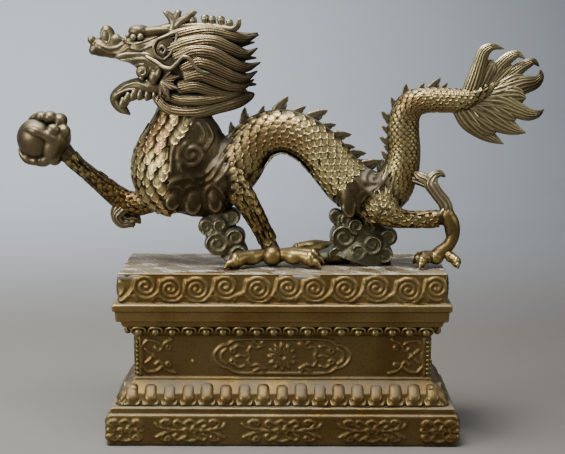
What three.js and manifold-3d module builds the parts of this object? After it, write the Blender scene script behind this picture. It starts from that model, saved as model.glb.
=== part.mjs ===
// A cast-brass Chinese dragon that holds a pearl in its raised claw and stands on cloud scrolls
// and three feet, on a moulded rectangular plinth with scroll, bead and lotus-petal courses.
// Millimetres, +Z up. The origin is the middle of the plinth's underside, the dragon faces -X,
// and its near side faces -Y.

import * as THREE from 'three';
import { mergeVertices } from 'three/addons/utils/BufferGeometryUtils.js';
import Module from 'manifold-3d';

const wasm = await Module();
wasm.setup();

// Plinth: the dado is the waist block, and each course is set out by how far it projects from it.
const DADO_WIDTH = 189;
const DADO_DEPTH = 61;
const BASE_HEIGHT = 20;
const BASE_PROJECTION = 16.7;
const PLATE_HEIGHT = 4.5;
const PLATE_PROJECTION = 15;
const LOTUS_HEIGHT = 14.5;
const LOTUS_PROJECTION = 13.5;
const FILLET_HEIGHT = 2;
const FILLET_PROJECTION = 1.2;
const DADO_HEIGHT = 27;
const BEAD_COURSE_HEIGHT = 7;
const BEAD_COURSE_PROJECTION = 5;
const STEP_HEIGHT = 4;
const STEP_PROJECTION = 8.5;
const BAND_HEIGHT = 6.5;
const BAND_PROJECTION = 11;
const LEDGE_HEIGHT = 5;
const LEDGE_PROJECTION = 12.9;
const SLAB_HEIGHT = 19.5;
const SLAB_PROJECTION = 10;

// Carving on the plinth.
const PETAL_PITCH = 12.7;
const PETAL_RELIEF = 2.2;
const BEAD_PITCH = 11;
const BEAD_RELIEF = 2.4;
const SCROLL_PITCH = 17.7;
const SCROLL_RELIEF = 1.1;
const SCROLL_MARGIN = 1.2;
const CARTOUCHE_WIDTH = 88;
const CARTOUCHE_MARGIN = 2.5;
const CARTOUCHE_RELIEF = 1.2;
const ROSETTE_RADIUS = 8.5;
const ROSETTE_PETALS = 12;
const MEDALLION_WIDTH = 44;
const MEDALLION_COUNT = 3;

// Dragon: its carving is set out on a grid of 348 steps along its length.
const DRAGON_LENGTH = 348;
const LENGTH_STEPS = 348;
const step = DRAGON_LENGTH / LENGTH_STEPS;

// Where two of the dragon's forms run together, edges shorter than this are closed up.
const BLEND = 1.4;

// Shared helpers

// A closed solid from any three.js geometry, turned so that its faces point out. When it is joined
// to others, edges shorter than `blend` are closed up.
function toSolid(geometry, blend = 0) {
  const bare = geometry.clone();
  bare.deleteAttribute('normal');
  bare.deleteAttribute('uv');
  const merged = mergeVertices(bare, 1e-4);
  const points = merged.attributes.position.array;
  const index = merged.index.array;
  const a = new THREE.Vector3();
  const b = new THREE.Vector3();
  const c = new THREE.Vector3();
  let volume = 0;
  const kept = [];
  for (let i = 0; i < index.length; i += 3) {
    const [p, q, r] = [index[i], index[i + 1], index[i + 2]];
    if (p === q || q === r || r === p) continue;
    kept.push(p, q, r);
    a.fromArray(points, 3 * p);
    b.fromArray(points, 3 * q);
    c.fromArray(points, 3 * r);
    volume += a.dot(b.cross(c));
  }
  if (volume < 0) kept.reverse();
  return new wasm.Manifold(new wasm.Mesh({
    numProp: 3,
    vertProperties: new Float32Array(points),
    triVerts: new Uint32Array(kept),
    tolerance: blend,
  }));
}

// The triangles of the largest connected surface, which leaves out pockets closed up inside a join.
function outerSurface(index, pointCount) {
  const parents = Array.from({ length: pointCount }, (_, i) => i);
  const rootOf = (i) => {
    let root = i;
    while (parents[root] !== root) root = parents[root];
    parents[i] = root;
    return root;
  };
  for (let i = 0; i < index.length; i += 3) {
    parents[rootOf(index[i + 1])] = rootOf(index[i]);
    parents[rootOf(index[i + 2])] = rootOf(index[i]);
  }
  const surfaces = new Map();
  for (let i = 0; i < index.length; i += 3) {
    const root = rootOf(index[i]);
    if (!surfaces.has(root)) surfaces.set(root, []);
    surfaces.get(root).push(index[i], index[i + 1], index[i + 2]);
  }
  return [...surfaces.values()].reduce((a, b) => (b.length > a.length ? b : a));
}

function toGeometry(solid) {
  const mesh = solid.getMesh();
  const geometry = new THREE.BufferGeometry();
  geometry.setAttribute('position', new THREE.BufferAttribute(new Float32Array(mesh.vertProperties), 3));
  geometry.setIndex(outerSurface(mesh.triVerts, mesh.vertProperties.length / 3));
  geometry.computeVertexNormals();
  return geometry;
}

// Joins solids in pairs, so that no join has to work on one huge solid and many small ones.
function joinAll(solids) {
  let row = solids.slice();
  while (row.length > 1) {
    const next = [];
    for (let i = 0; i < row.length; i += 2) {
      next.push(i + 1 < row.length ? row[i].add(row[i + 1]) : row[i]);
    }
    row = next;
  }
  return row[0];
}

// Rings of points skinned into a closed geometry, each quad split along its shorter diagonal.
// A ring of one point closes an end.
function skin(rings) {
  const positions = [];
  const starts = [];
  for (const ring of rings) {
    starts.push(positions.length / 3);
    for (const p of ring) positions.push(p.x, p.y, p.z);
  }
  const index = [];
  for (let k = 0; k + 1 < rings.length; k += 1) {
    const [from, to] = [rings[k], rings[k + 1]];
    const [s, e] = [starts[k], starts[k + 1]];
    const count = Math.max(from.length, to.length);
    for (let i = 0; i < count; i += 1) {
      const j = (i + 1) % count;
      if (from.length === 1) index.push(s, e + j, e + i);
      else if (to.length === 1) index.push(s + i, s + j, e);
      else if (from[i].distanceTo(to[j]) < from[j].distanceTo(to[i])) {
        index.push(s + i, s + j, e + j, s + i, e + j, e + i);
      } else index.push(s + i, s + j, e + i, s + j, e + j, e + i);
    }
  }
  const geometry = new THREE.BufferGeometry();
  geometry.setAttribute('position', new THREE.Float32BufferAttribute(positions, 3));
  geometry.setIndex(index);
  return geometry;
}

// An oval section drawn along a smooth path. Each station is [x, y, z, a, b]: the section's
// half-height a lies square to both the path and `across`, and its half-width b lies along `across`.
function sweep(stations, { sides = 8, rings = 3 * stations.length, across = [0, 1, 0] } = {}) {
  const path = new THREE.CatmullRomCurve3(stations.map(([x, y, z]) => new THREE.Vector3(x, y, z)));
  const sizes = new THREE.CatmullRomCurve3(
    stations.map(([, , , a, b = a]) => new THREE.Vector3(a, b, 0)),
  );
  const sideways = new THREE.Vector3(...across);
  const drawn = [];
  for (let k = 0; k <= rings; k += 1) {
    const t = k / rings;
    const centre = path.getPoint(t);
    const along = path.getTangent(t);
    const size = sizes.getPoint(t);
    const wide = sideways.clone().addScaledVector(along, -sideways.dot(along)).normalize();
    const high = new THREE.Vector3().crossVectors(along, wide);
    const atEnd = k === 0 || k === rings;
    if (atEnd && size.x < 0.05) {
      drawn.push([centre]);
      continue;
    }
    const ring = [];
    for (let i = 0; i < sides; i += 1) {
      const angle = (2 * Math.PI * i) / sides;
      ring.push(centre.clone()
        .addScaledVector(high, size.x * Math.cos(angle))
        .addScaledVector(wide, size.y * Math.sin(angle)));
    }
    if (k === 0) drawn.push([centre]);
    drawn.push(ring);
    if (k === rings) drawn.push([centre]);
  }
  return toSolid(skin(drawn), BLEND);
}

// A rounded lump: a sphere stretched to three half-sizes, tilted about Y by `lean` degrees.
function lump([x, y, z], [rx, ry, rz], { lean = 0, around = 6, up = 3 } = {}) {
  const geometry = new THREE.SphereGeometry(1, around, up);
  geometry.rotateX(Math.PI / 2);
  geometry.scale(rx, ry, rz);
  geometry.rotateY(THREE.MathUtils.degToRad(lean));
  geometry.translate(x, y, z);
  return toSolid(geometry, BLEND);
}

function mirrorStations(stations) {
  return stations.map(([x, y, ...rest]) => [x, -y, ...rest]);
}

// The same sweep on both sides of the dragon's middle plane.
function sweepBothSides(stations, options) {
  return [sweep(stations, options), sweep(mirrorStations(stations), options)];
}

function lumpBothSides([x, y, z], sizes, options) {
  return [lump([x, y, z], sizes, options), lump([x, -y, z], sizes, options)];
}

// Dragon's body

// Each station is [x, y, z, half-height, half-width].
const CHEST = [
  [-58, 0, 113, 12.5, 12],
  [-62.5, 0, 98, 18, 14],
  [-63.5, 0, 86, 25.5, 17],
  [-64.5, 0, 72, 32, 19.5],
  [-65, 0, 58, 33, 20.5],
  [-63, 0, 46, 27.5, 18],
  [-60, 0, 37, 17, 13],
];
const ARCH = [
  [-70, 0, 47, 14, 14],
  [-50, 0, 48, 18, 18],
  [-32, 0, 62, 18, 18],
  [-21, 0, 77, 16.3, 15],
  [-12, 0, 84, 15.4, 14],
  [0, 0, 86.5, 15, 13.5],
  [13, 0, 82.5, 15.2, 13.5],
  [24, 0, 74, 15.6, 14],
  [34, 0, 62, 16, 15],
  [45, 0, 51, 16.5, 17],
  [60, 0, 45, 14.5, 17],
];
const TAIL = [
  [52, 0, 42, 11, 13],
  [67, 0, 46, 14, 14],
  [76, 0, 59, 12, 12],
  [78.5, 0, 73, 11, 10.5],
  [77.5, 0, 87, 11, 10],
  [79, 0, 98, 10.2, 9.5],
  [84.5, 0, 104.5, 9.3, 9],
  [93, 0, 106.5, 8.5, 8.3],
  [105, 0, 106.5, 8.3, 8],
  [115, 0, 106.5, 7.8, 7],
  [124, 0, 109, 6, 5],
  [132, 0, 114, 4, 3.5],
  [139, 0, 118.5, 0, 0],
];

function bodyMasses() {
  return [
    sweep(CHEST, { sides: 10, rings: 8 }),
    sweep(ARCH, { sides: 8, rings: 15 }),
    sweep(TAIL, { sides: 7, rings: 15 }),
  ];
}

// Lobes that lap over the near shoulder and haunch: [x, z, half-width, half-height, lean].
const SHOULDER_LOBES = [
  [-70, 43, 6.5, 9, 10],
  [-59, 42, 6.5, 10, 0],
  [-47, 43, 5.5, 10, -8],
];
const HAUNCH_LOBES = [
  [41.5, 43, 5.5, 13, -10],
  [53, 39, 5.5, 12, -12],
];

function flameLobes() {
  const lobesAt = (rows, y) => rows.map(
    ([x, z, wide, high, lean]) => lump([x, y, z], [wide, 5.5, high], { lean, around: 7 }),
  );
  return [...lobesAt(SHOULDER_LOBES, -15), ...lobesAt(HAUNCH_LOBES, -13)];
}

// Back fins stand on the outer side of a path at share t, `tall` high and `long` at the root.
function backFin(stations, t, tall, long, thick) {
  const path = new THREE.CatmullRomCurve3(stations.map(([x, y, z]) => new THREE.Vector3(x, y, z)));
  const sizes = new THREE.CatmullRomCurve3(stations.map(([, , , a]) => new THREE.Vector3(a, 0, 0)));
  const centre = path.getPoint(t);
  const along = path.getTangent(t);
  const out = new THREE.Vector3(-along.z, 0, along.x);
  const back = sizes.getPoint(t).x;
  const root = centre.clone().addScaledVector(out, back - 3);
  const middle = centre.clone().addScaledVector(out, back + 0.45 * tall).addScaledVector(along, 0.1 * tall);
  const tip = centre.clone().addScaledVector(out, back + tall).addScaledVector(along, 0.75 * tall);
  return sweep([
    [root.x, root.y, root.z, long, thick],
    [middle.x, middle.y, middle.z, 0.6 * long, 0.8 * thick],
    [tip.x, tip.y, tip.z, 0, 0],
  ], { sides: 3, rings: 2 });
}

function backFins() {
  const fins = [];
  const archShares = [0.36, 0.42, 0.47, 0.54, 0.6, 0.66, 0.72, 0.78, 0.84, 0.91];
  archShares.forEach((t, i) => {
    const large = i % 2 === 1;
    fins.push(backFin(ARCH, t, large ? 8 : 5.5, large ? 4.6 : 3, 1.6));
  });
  const tailShares = [0.17, 0.225, 0.28, 0.335, 0.39, 0.45, 0.52, 0.6, 0.66, 0.72];
  tailShares.forEach((t, i) => {
    const large = i % 2 === 0;
    fins.push(backFin(TAIL, t, large ? 6.5 : 4.5, large ? 3.8 : 2.6, 1.5));
  });
  return fins;
}

// Lobes of the tail fan, from the upper curl round to the lower edge.
const FAN_LOBES = [
  [[121, 0, 108, 6, 3], [125, -2, 119, 5.5, 3], [126.5, -3, 130, 4.6, 2.6],
    [128.5, -4, 138, 4, 2.2], [133.5, -4, 141.5, 2.6, 1.8], [141.6, -4, 140.4, 0]],
  [[125, 0, 108, 6, 3], [134, 1, 119, 5, 3], [140, 2, 128, 4.4, 2.4],
    [146.5, 2, 134.5, 3.6, 2.2], [151.5, 2, 136.3, 2.4, 1.8], [155.8, 2, 133.6, 0]],
  [[128, 0, 109, 6, 3], [140, 2, 117, 5, 3], [149.5, 4, 124, 4.4, 2.4],
    [157, 5, 129.5, 3.4, 2.2], [162.5, 5, 131.6, 2.2, 1.8], [165.8, 5, 128.4, 0]],
  [[128, 0, 108, 6, 3], [142, 1, 111.5, 7.5, 3.2], [155, 3, 116, 6.4, 2.6],
    [164, 4, 117.8, 4.4, 2.2], [167.4, 5, 121.5, 2.4, 1.8], [166.9, 5, 126.5, 0]],
  [[122, 0, 106, 8, 3.2], [140, 0, 104, 8, 3.2], [150, -2, 100.5, 5.5, 2.6],
    [158, -4, 97.5, 4.2, 2.2], [163.5, -5, 98, 2.6, 1.8], [168, -5, 101, 0]],
  [[120, 0, 105, 8, 3.2], [133, 0, 98, 9, 3.2], [143, -1, 91, 6.5, 2.6],
    [150, -2, 87.5, 3.6, 2], [157, -2, 85.2, 0]],
  [[117, 0, 103, 7, 3.2], [122.5, 0, 94, 8, 3.2], [129.5, 1, 86, 5.5, 2.6],
    [136, 2, 81.2, 3.4, 2], [143.5, 2, 77.5, 0]],
];
// The web that joins the lobes between their roots.
const FAN_WEB = { centre: [135, 0, 108], halfSizes: [21, 2.4, 18] };

function tailFan() {
  return [
    lump(FAN_WEB.centre, FAN_WEB.halfSizes, { around: 8 }),
    ...FAN_LOBES.map((lobe) => sweep(lobe, { sides: 4, rings: lobe.length })),
  ];
}

// Limbs

function limbs() {
  const nearArm = [
    [-45, -9, 60, 13, 10],
    [-35, -14, 55, 11, 8],
    [-28, -15, 49, 8.6, 7],
    [-22, -13.5, 40, 7, 6.5],
    [-16.5, -12, 30, 6.2, 6],
    [-10.5, -10.5, 18, 5.6, 5.6],
    [-7, -9.5, 7, 6.2, 6.2],
    [-6.5, -9, -2, 5.5, 5.5],
  ];
  const farArm = [
    [-62, 10, 50, 10, 9],
    [-84, 15, 41, 8.5, 8],
    [-101, 17, 37, 8, 7.5],
    [-111, 17, 42.5, 7, 6.5],
    [-123, 16.5, 52.5, 5.6, 5.2],
    [-134, 16, 61.5, 4.8, 4.6],
    [-142, 16, 69, 6, 6],
    [-149, 16, 75, 9, 8],
  ];
  const elbowCurl = [
    [-104, 17, 37, 5.5],
    [-110, 17, 30, 6],
    [-107, 17, 24.5, 5.2],
    [-101, 17, 22.3, 3.4],
    [-95.5, 17, 24, 0],
  ];
  const nearThigh = [
    [56, -7, 44, 13, 11],
    [65, -12, 36.5, 10.5, 9],
    [74, -14.5, 32, 6.6, 6.2],
    [86, -15, 31, 5.3, 5.2],
    [97, -15.5, 31.5, 5.4, 5.2],
    [105.5, -16, 33.5, 4.5, 4.5],
  ];
  const nearShin = [
    [101, -16, 37, 3.6],
    [107, -16, 31, 5],
    [109.5, -16, 23, 4.2],
    [107, -16, 15, 3.9],
    [101, -16, 9.5, 4.4],
    [96, -15, 6.5, 3.4],
  ];
  const hockTuft = [
    [105, -16, 35, 4],
    [98.5, -15, 44, 3.6],
    [92, -13, 49.5, 3.8],
    [89, -11, 56, 4.2],
    [93, -10.5, 61, 3],
    [101.5, -10.5, 61.5, 0],
  ];
  const hockTuftRoot = [
    [91, -11, 56, 3.2],
    [84, -6, 57, 3.4],
    [78, -2, 58, 3.4],
  ];
  const farThigh = [
    [56, 7, 42, 12, 11],
    [51, 15, 30, 8.5, 8.5],
    [46, 18, 19, 6, 6],
    [38, 18.5, 10, 5.4, 5.4],
    [31, 18, 7, 4.4, 4.4],
  ];
  return [
    sweep(nearArm, { sides: 6, rings: 8 }),
    sweep(farArm, { sides: 6, rings: 7 }),
    sweep(elbowCurl, { sides: 4, rings: 5 }),
    sweep(nearThigh, { sides: 6, rings: 6 }),
    sweep(nearShin, { sides: 5, rings: 6 }),
    sweep(hockTuft, { sides: 4, rings: 6 }),
    sweep(hockTuftRoot, { sides: 4, rings: 2, across: [0, 0, 1] }),
    sweep(farThigh, { sides: 6, rings: 5 }),
  ];
}

// Toes arch from the heel over a knuckle to a claw that just meets the plinth.
const TOES = [
  [[-7, -10, 7], [-21, -17, 7.5], [-31, -24, 6], [-37, -31, 0.4]],
  [[-5, -11, 6], [8, -17, 8], [18, -21, 7.5], [24.5, -27, 0.4]],
  [[-5, -8, 6], [9, -6, 8.5], [20, -6, 8], [27, -9, 0.4]],
  [[98, -15, 6.5], [92, -12, 8.5], [88, -9, 5.5], [85, -7, 0.4]],
  [[98, -16, 6.5], [92.5, -19, 8], [89, -23, 5.5], [87.5, -27, 0.4]],
  [[103, -16, 9], [108, -19, 7.5], [111, -22, 4.5], [112, -26, 0.4]],
  [[34, 18, 7.5], [19, 15, 10], [9, 14, 7.5], [4, 13, 0.4]],
  [[34, 19, 7], [21, 24, 9], [12, 28, 6], [8, 31, 0.4]],
  [[35, 16, 7], [25, 10, 8.5], [17, 6, 6], [13, 4, 0.4]],
];
const TOE_RADII = [3.6, 3.3, 2.7, 0];

function toes() {
  return TOES.map((points) => sweep(
    points.map((p, i) => [...p, TOE_RADII[i]]),
    { sides: 4, rings: 3, across: [0, 1, 0.1] },
  ));
}

// The pearl, with fingers that wrap it from the palm side.
const PEARL = [-163, 16, 80.5];
const PEARL_RADIUS = 14.3;
const FINGER_TURNS = [80, 20, -85, 160];
const FINGER_RADII = [3.4, 3.6, 3.2, 2.4, 0];

function pearlHand() {
  const centre = new THREE.Vector3(...PEARL);
  const toPalm = new THREE.Vector3(0.94, 0, -0.34).normalize();
  const up = new THREE.Vector3(0.34, 0, 0.94).normalize();
  const near = new THREE.Vector3(0, -1, 0);
  const pearl = new THREE.SphereGeometry(PEARL_RADIUS, 10, 8);
  pearl.translate(...PEARL);
  const fingers = FINGER_TURNS.map((turn) => {
    const angle = THREE.MathUtils.degToRad(turn);
    const side = up.clone().multiplyScalar(Math.sin(angle)).addScaledVector(near, Math.cos(angle));
    const stations = FINGER_RADII.map((radius, i) => {
      const round = THREE.MathUtils.degToRad(14 + 31 * i);
      const reach = PEARL_RADIUS + [1.5, 2.6, 1.8, 1.4, 0.6][i];
      const p = centre.clone()
        .addScaledVector(toPalm, reach * Math.cos(round))
        .addScaledVector(side, reach * Math.sin(round));
      return [p.x, p.y, p.z, radius];
    });
    const across = new THREE.Vector3().crossVectors(toPalm, side);
    return sweep(stations, { sides: 4, rings: 5, across: across.toArray() });
  });
  return [toSolid(pearl), lump([-148.5, 16, 76], [8.5, 9, 11], { lean: 20 }), ...fingers];
}

// Head

const UPPER_JAW = [
  [-124.5, 0, 142, 4, 3.5],
  [-120, 0, 142, 7, 7],
  [-112, 0, 141, 7.6, 8],
  [-103, 0, 139.5, 8, 8.5],
  [-94, 0, 139, 12, 11.5],
  [-84, 0, 136, 16, 14],
  [-72, 0, 131, 19, 15],
  [-60, 0, 128, 19, 15],
];
const LOWER_JAW = [
  [-76, 0, 116, 10, 12],
  [-86, 0, 116.5, 8.4, 10.5],
  [-95, 0, 115.5, 7, 8.5],
  [-103, 0, 112, 6.2, 7],
  [-108, 0, 106.5, 4.6, 5],
  [-105, 0, 100.5, 3, 3],
  [-98.5, 0, 97.5, 0, 0],
];
const HORN_BEAM = [
  [-80, 5, 150, 3.4],
  [-68, 6, 152, 3.4],
  [-52, 7.5, 152.5, 3],
  [-38, 9, 152, 2.8],
  [-30, 10, 153.5, 2.2],
  [-27, 10.5, 158.5, 0],
];
// Each tine is its root and tip on the near horn, as [x, y, z].
const HORN_TINES = [
  [[-70, 6, 154], [-74, 6, 162.5]],
  [[-69, 6, 154], [-65.4, 5, 164]],
  [[-61, 6.5, 153.5], [-55.3, 8, 163.3]],
  [[-53, 7, 153], [-48.7, 9, 160.2]],
  [[-43, 8, 153], [-39, 7, 159.5]],
];

function head() {
  const parts = [
    sweep(UPPER_JAW, { sides: 8, rings: 7 }),
    sweep(LOWER_JAW, { sides: 6, rings: 7 }),
    ...sweepBothSides(HORN_BEAM, { sides: 4, rings: 4 }),
    ...lumpBothSides([-110.5, 3.8, 148.6], [5, 3.4, 6.8], { lean: -12, around: 7, up: 4 }),
    ...lumpBothSides([-121, 3.2, 139.5], [3.6, 3.2, 3.4]),
    ...lumpBothSides([-91, 7.5, 149], [8.4, 4.6, 5.6], { around: 8, up: 4 }),
    ...lumpBothSides([-81, 12, 121.5], [5, 4, 6]),
    ...lumpBothSides([-74, 15, 141], [5.5, 2.6, 10], { lean: 28 }),
  ];
  for (const [root, tip] of HORN_TINES) {
    const tine = [[...root, 2.7], [...tip, 0]];
    parts.push(...sweepBothSides(tine, { sides: 4, rings: 1 }));
  }
  return parts;
}

// Rays of the cheek frill fan out round the jaw's hinge, from one angle to another.
const FRILL_CENTRE = [-79, 119.5];
const FRILL_REACH = 15;
const FRILL_ANGLES = [25, -22, -68];

function cheekFrills() {
  const [x, z] = FRILL_CENTRE;
  return FRILL_ANGLES.flatMap((degrees) => {
    const angle = THREE.MathUtils.degToRad(degrees);
    const at = (reach) => [x + reach * Math.cos(angle), z + reach * Math.sin(angle)];
    const [x1, z1] = at(0.55 * FRILL_REACH);
    const [x2, z2] = at(FRILL_REACH);
    const ray = [[x, 12, z, 3.5, 3], [x1, 14.5, z1, 4.2, 2.6], [x2, 16, z2, 0, 0]];
    return sweepBothSides(ray, { sides: 4, rings: 2 });
  });
}

// Mane locks stream back from the head: [root, middle, near the end, tip] in each line.
const MANE_CORE = [
  [-78, 0, 127, 20, 13],
  [-64, 0, 128, 23, 16],
  [-48, 0, 128.5, 21, 16],
  [-34, 0, 129, 18, 12.5],
  [-22, 0, 129.5, 11, 7],
];
const MANE_LOCKS = [
  [[-72, 6, 144, 7, 6], [-50, 8, 149, 5.5, 6], [-30, 8, 146, 4, 4.5], [-14.5, 7, 148.5, 0]],
  [[-70, 11, 137, 7, 6], [-48, 14, 141, 6, 6], [-30, 12, 138, 4, 4.5], [-16, 10, 139.5, 0]],
  [[-66, 13, 130, 7, 6], [-46, 16, 131, 6, 6], [-28, 14, 127.5, 4, 4.5], [-14.5, 12, 129, 0]],
  [[-66, 13, 122, 7, 6], [-46, 15, 120.5, 6, 5], [-30, 12, 119.5, 4, 4.5], [-17.5, 10, 121.5, 0]],
  [[-70, 10, 113, 7, 6], [-52, 13, 111.5, 6, 5], [-36, 11, 114.5, 4, 4], [-25, 8, 116, 0]],
];
const THROAT_LOCK = [
  [-80, 6, 108, 4, 5],
  [-72, 9, 101.5, 5.5, 6.5],
  [-56, 10, 100.8, 5.5, 6.5],
  [-40, 8, 105.5, 6, 5.5],
  [-28, 6, 108.5, 6, 4.6],
  [-19.5, 5, 109.5, 2.6, 2.6],
];
const CREST_LOCK = [
  [-74, 0, 148, 6, 6],
  [-54, 0, 151, 5, 6],
  [-34, 0, 149, 4, 5],
  [-18, 0, 151, 0, 0],
];

function mane() {
  return [
    sweep(MANE_CORE, { sides: 8, rings: 4 }),
    sweep(CREST_LOCK, { sides: 4, rings: 4 }),
    ...sweepBothSides(THROAT_LOCK, { sides: 4, rings: 5 }),
    ...MANE_LOCKS.flatMap((lock) => sweepBothSides(lock, { sides: 4, rings: 3 })),
  ];
}

// Clouds under the chest and the haunch

// Each scroll is [x, y, z, radius, thickness]: a round roll with its flat faces to the near and far side.
const CHEST_SCROLLS = [
  [-41, 0, 13, 10.5, 20],
  [-49.5, 0, 26, 7, 17],
  [-37, 0, 28, 7.5, 18],
];
const HAUNCH_SCROLLS = [
  [41, 0, 18, 13.5, 24],
  [35, 0, 34, 5.6, 12],
  [48, 0, 28, 8, 26],
  [60, 0, 14.5, 10.5, 25],
  [69, 0, 17, 7.5, 18],
];
const CLOUD_STEMS = [
  [[-46, 0, 36, 9, 9], [-34, 0, 20, 7, 8], [-29, 0, 8, 9, 9], [-30, 0, -3, 12, 11]],
  [[52, 0, 42, 14, 12], [53, 0, 20, 15, 11], [52, 0, 8, 20, 13], [50, 0, -3, 24, 15]],
  [[44, 0, 6, 6, 9], [32, 0, 5, 6, 10], [22, 2, 2, 4, 9], [15, 2, -2, 3, 6]],
];

// A roll whose near and far faces wind up to a crest and sink again to the eye, like a snail's shell.
function scrollRoll([x, y, z, radius, thickness]) {
  const sides = 7;
  const ring = (depth, reach) => Array.from({ length: sides }, (_, i) => {
    const angle = (2 * Math.PI * (i + 0.5)) / sides;
    return new THREE.Vector3(x + reach(i) * Math.cos(angle), y + depth, z + reach(i) * Math.sin(angle));
  });
  const rim = () => radius;
  const crest = (i) => radius * (0.3 + (0.55 * i) / (sides - 1));
  const half = thickness / 2;
  const swell = 0.16 * radius;
  const rings = [
    [new THREE.Vector3(x, y - half + swell, z)],
    ring(-half - swell, crest),
    ring(-half + swell, rim),
    ring(half - swell, rim),
    [new THREE.Vector3(x, y + half + swell, z)],
  ];
  return toSolid(skin(rings), BLEND);
}

function clouds() {
  return [
    ...CLOUD_STEMS.map((stem) => sweep(stem, { sides: 6, rings: 3 })),
    ...[...CHEST_SCROLLS, ...HAUNCH_SCROLLS].map(scrollRoll),
  ];
}

// The whole dragon as one casting, cut off flat where it stands on the plinth.
function dragonSolid() {
  const whole = joinAll([
    ...bodyMasses(),
    ...flameLobes(),
    ...backFins(),
    ...tailFan(),
    ...limbs(),
    ...toes(),
    ...pearlHand(),
    ...head(),
    ...cheekFrills(),
    ...mane(),
    ...clouds(),
  ]);
  const below = new THREE.BoxGeometry(LENGTH_STEPS, LENGTH_STEPS, 20);
  below.translate(0, 0, -10);
  return whole.subtract(toSolid(below));
}

// Plinth

// The plain courses from the underside up. The lobed courses fit between them.
function plinthLayout() {
  const heights = {
    base: BASE_HEIGHT,
    plate: PLATE_HEIGHT,
    lotus: LOTUS_HEIGHT,
    fillet: FILLET_HEIGHT,
    dado: DADO_HEIGHT,
    beads: BEAD_COURSE_HEIGHT,
    step: STEP_HEIGHT,
    band: BAND_HEIGHT,
    ledge: LEDGE_HEIGHT,
    slab: SLAB_HEIGHT,
  };
  const foot = {};
  let z = 0;
  for (const [name, height] of Object.entries(heights)) {
    foot[name] = z;
    z += height;
  }
  return { foot, top: z };
}

const { foot, top: PLINTH_HEIGHT } = plinthLayout();

function plinthCore() {
  const courses = [
    [BASE_PROJECTION, foot.base, foot.plate],
    [PLATE_PROJECTION, foot.plate, foot.lotus],
    [FILLET_PROJECTION, foot.lotus, foot.dado],
    [0, foot.dado, foot.beads],
    [FILLET_PROJECTION, foot.beads, foot.step],
    [STEP_PROJECTION, foot.step, foot.band],
    [BAND_PROJECTION, foot.band, foot.ledge],
    [LEDGE_PROJECTION, foot.ledge, foot.slab],
    [SLAB_PROJECTION, foot.slab, PLINTH_HEIGHT],
  ];
  const corners = [[1, 1], [-1, 1], [-1, -1], [1, -1]];
  const ringAt = (projection, z) => corners.map(([sx, sy]) => new THREE.Vector3(
    sx * (DADO_WIDTH / 2 + projection),
    sy * (DADO_DEPTH / 2 + projection),
    z,
  ));
  const rings = courses.flatMap(
    ([projection, low, high]) => [ringAt(projection, low), ringAt(projection, high)],
  );
  const centreAt = (z) => [new THREE.Vector3(0, 0, z)];
  return toSolid(skin([centreAt(0), ...rings, centreAt(PLINTH_HEIGHT)]));
}

// The four faces of the dado, each as its turn about Z, its width and its distance from the middle.
const FACES = [
  [0, DADO_WIDTH, DADO_DEPTH / 2],
  [90, DADO_DEPTH, DADO_WIDTH / 2],
  [180, DADO_WIDTH, DADO_DEPTH / 2],
  [270, DADO_DEPTH, DADO_WIDTH / 2],
];
const UP = new THREE.Vector3(0, 0, 1);

// A course whose faces swell into a row of lobes. Each level is [projection, height, relief], and
// `outline` gives the lobe's points as [share of the pitch, share of the relief], from its valley on.
function lobedCourse(levels, pitch, outline) {
  const rings = levels.map(([projection, z, relief]) => FACES.flatMap(([turn, width, reach]) => {
    const count = Math.round((width + 2 * levels[0][0]) / pitch);
    const length = width + 2 * projection;
    const ring = [];
    for (let i = 0; i < count; i += 1) {
      for (const [across, swell] of outline) {
        const x = ((i + across) / count - 0.5) * length;
        const y = -(reach + projection + swell * relief);
        ring.push(new THREE.Vector3(x, y, z).applyAxisAngle(UP, THREE.MathUtils.degToRad(turn)));
      }
    }
    return ring;
  }));
  const lowest = [new THREE.Vector3(0, 0, levels[0][1])];
  const highest = [new THREE.Vector3(0, 0, levels[levels.length - 1][1])];
  return toSolid(skin([lowest, ...rings, highest]));
}

function beadCourse() {
  const middle = foot.beads + 0.45 * BEAD_COURSE_HEIGHT;
  return lobedCourse([
    [BEAD_COURSE_PROJECTION - BEAD_RELIEF, foot.beads, 0],
    [BEAD_COURSE_PROJECTION - BEAD_RELIEF, middle, BEAD_RELIEF],
    [BEAD_COURSE_PROJECTION, foot.step, 0],
  ], BEAD_PITCH, [[0, 0], [0.5, 1]]);
}

// Lotus petals hang over a quarter-round course, each a swelling tablet with a groove on each side.
function lotusCourse() {
  const edge = LOTUS_PROJECTION - PETAL_RELIEF / 2;
  return lobedCourse([
    [edge, foot.lotus, 0.4 * PETAL_RELIEF],
    [edge - 0.5, foot.lotus + 0.45 * LOTUS_HEIGHT, PETAL_RELIEF],
    [FILLET_PROJECTION, foot.fillet, 0.6 * PETAL_RELIEF],
  ], PETAL_PITCH, [[0, 0], [0.2, 1], [0.8, 1]]);
}

// Places a carving made for the near face, lying on the plane y = 0, along a row on one face.
function alongFace([turn, width, reach], projection, count, make) {
  const spacing = (width + 2 * projection) / count;
  return Array.from({ length: count }, (_, i) => {
    const geometry = make(spacing, i);
    geometry.translate((i - (count - 1) / 2) * spacing, -(reach + projection), 0);
    geometry.rotateZ(THREE.MathUtils.degToRad(turn));
    return toSolid(geometry);
  });
}

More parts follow.
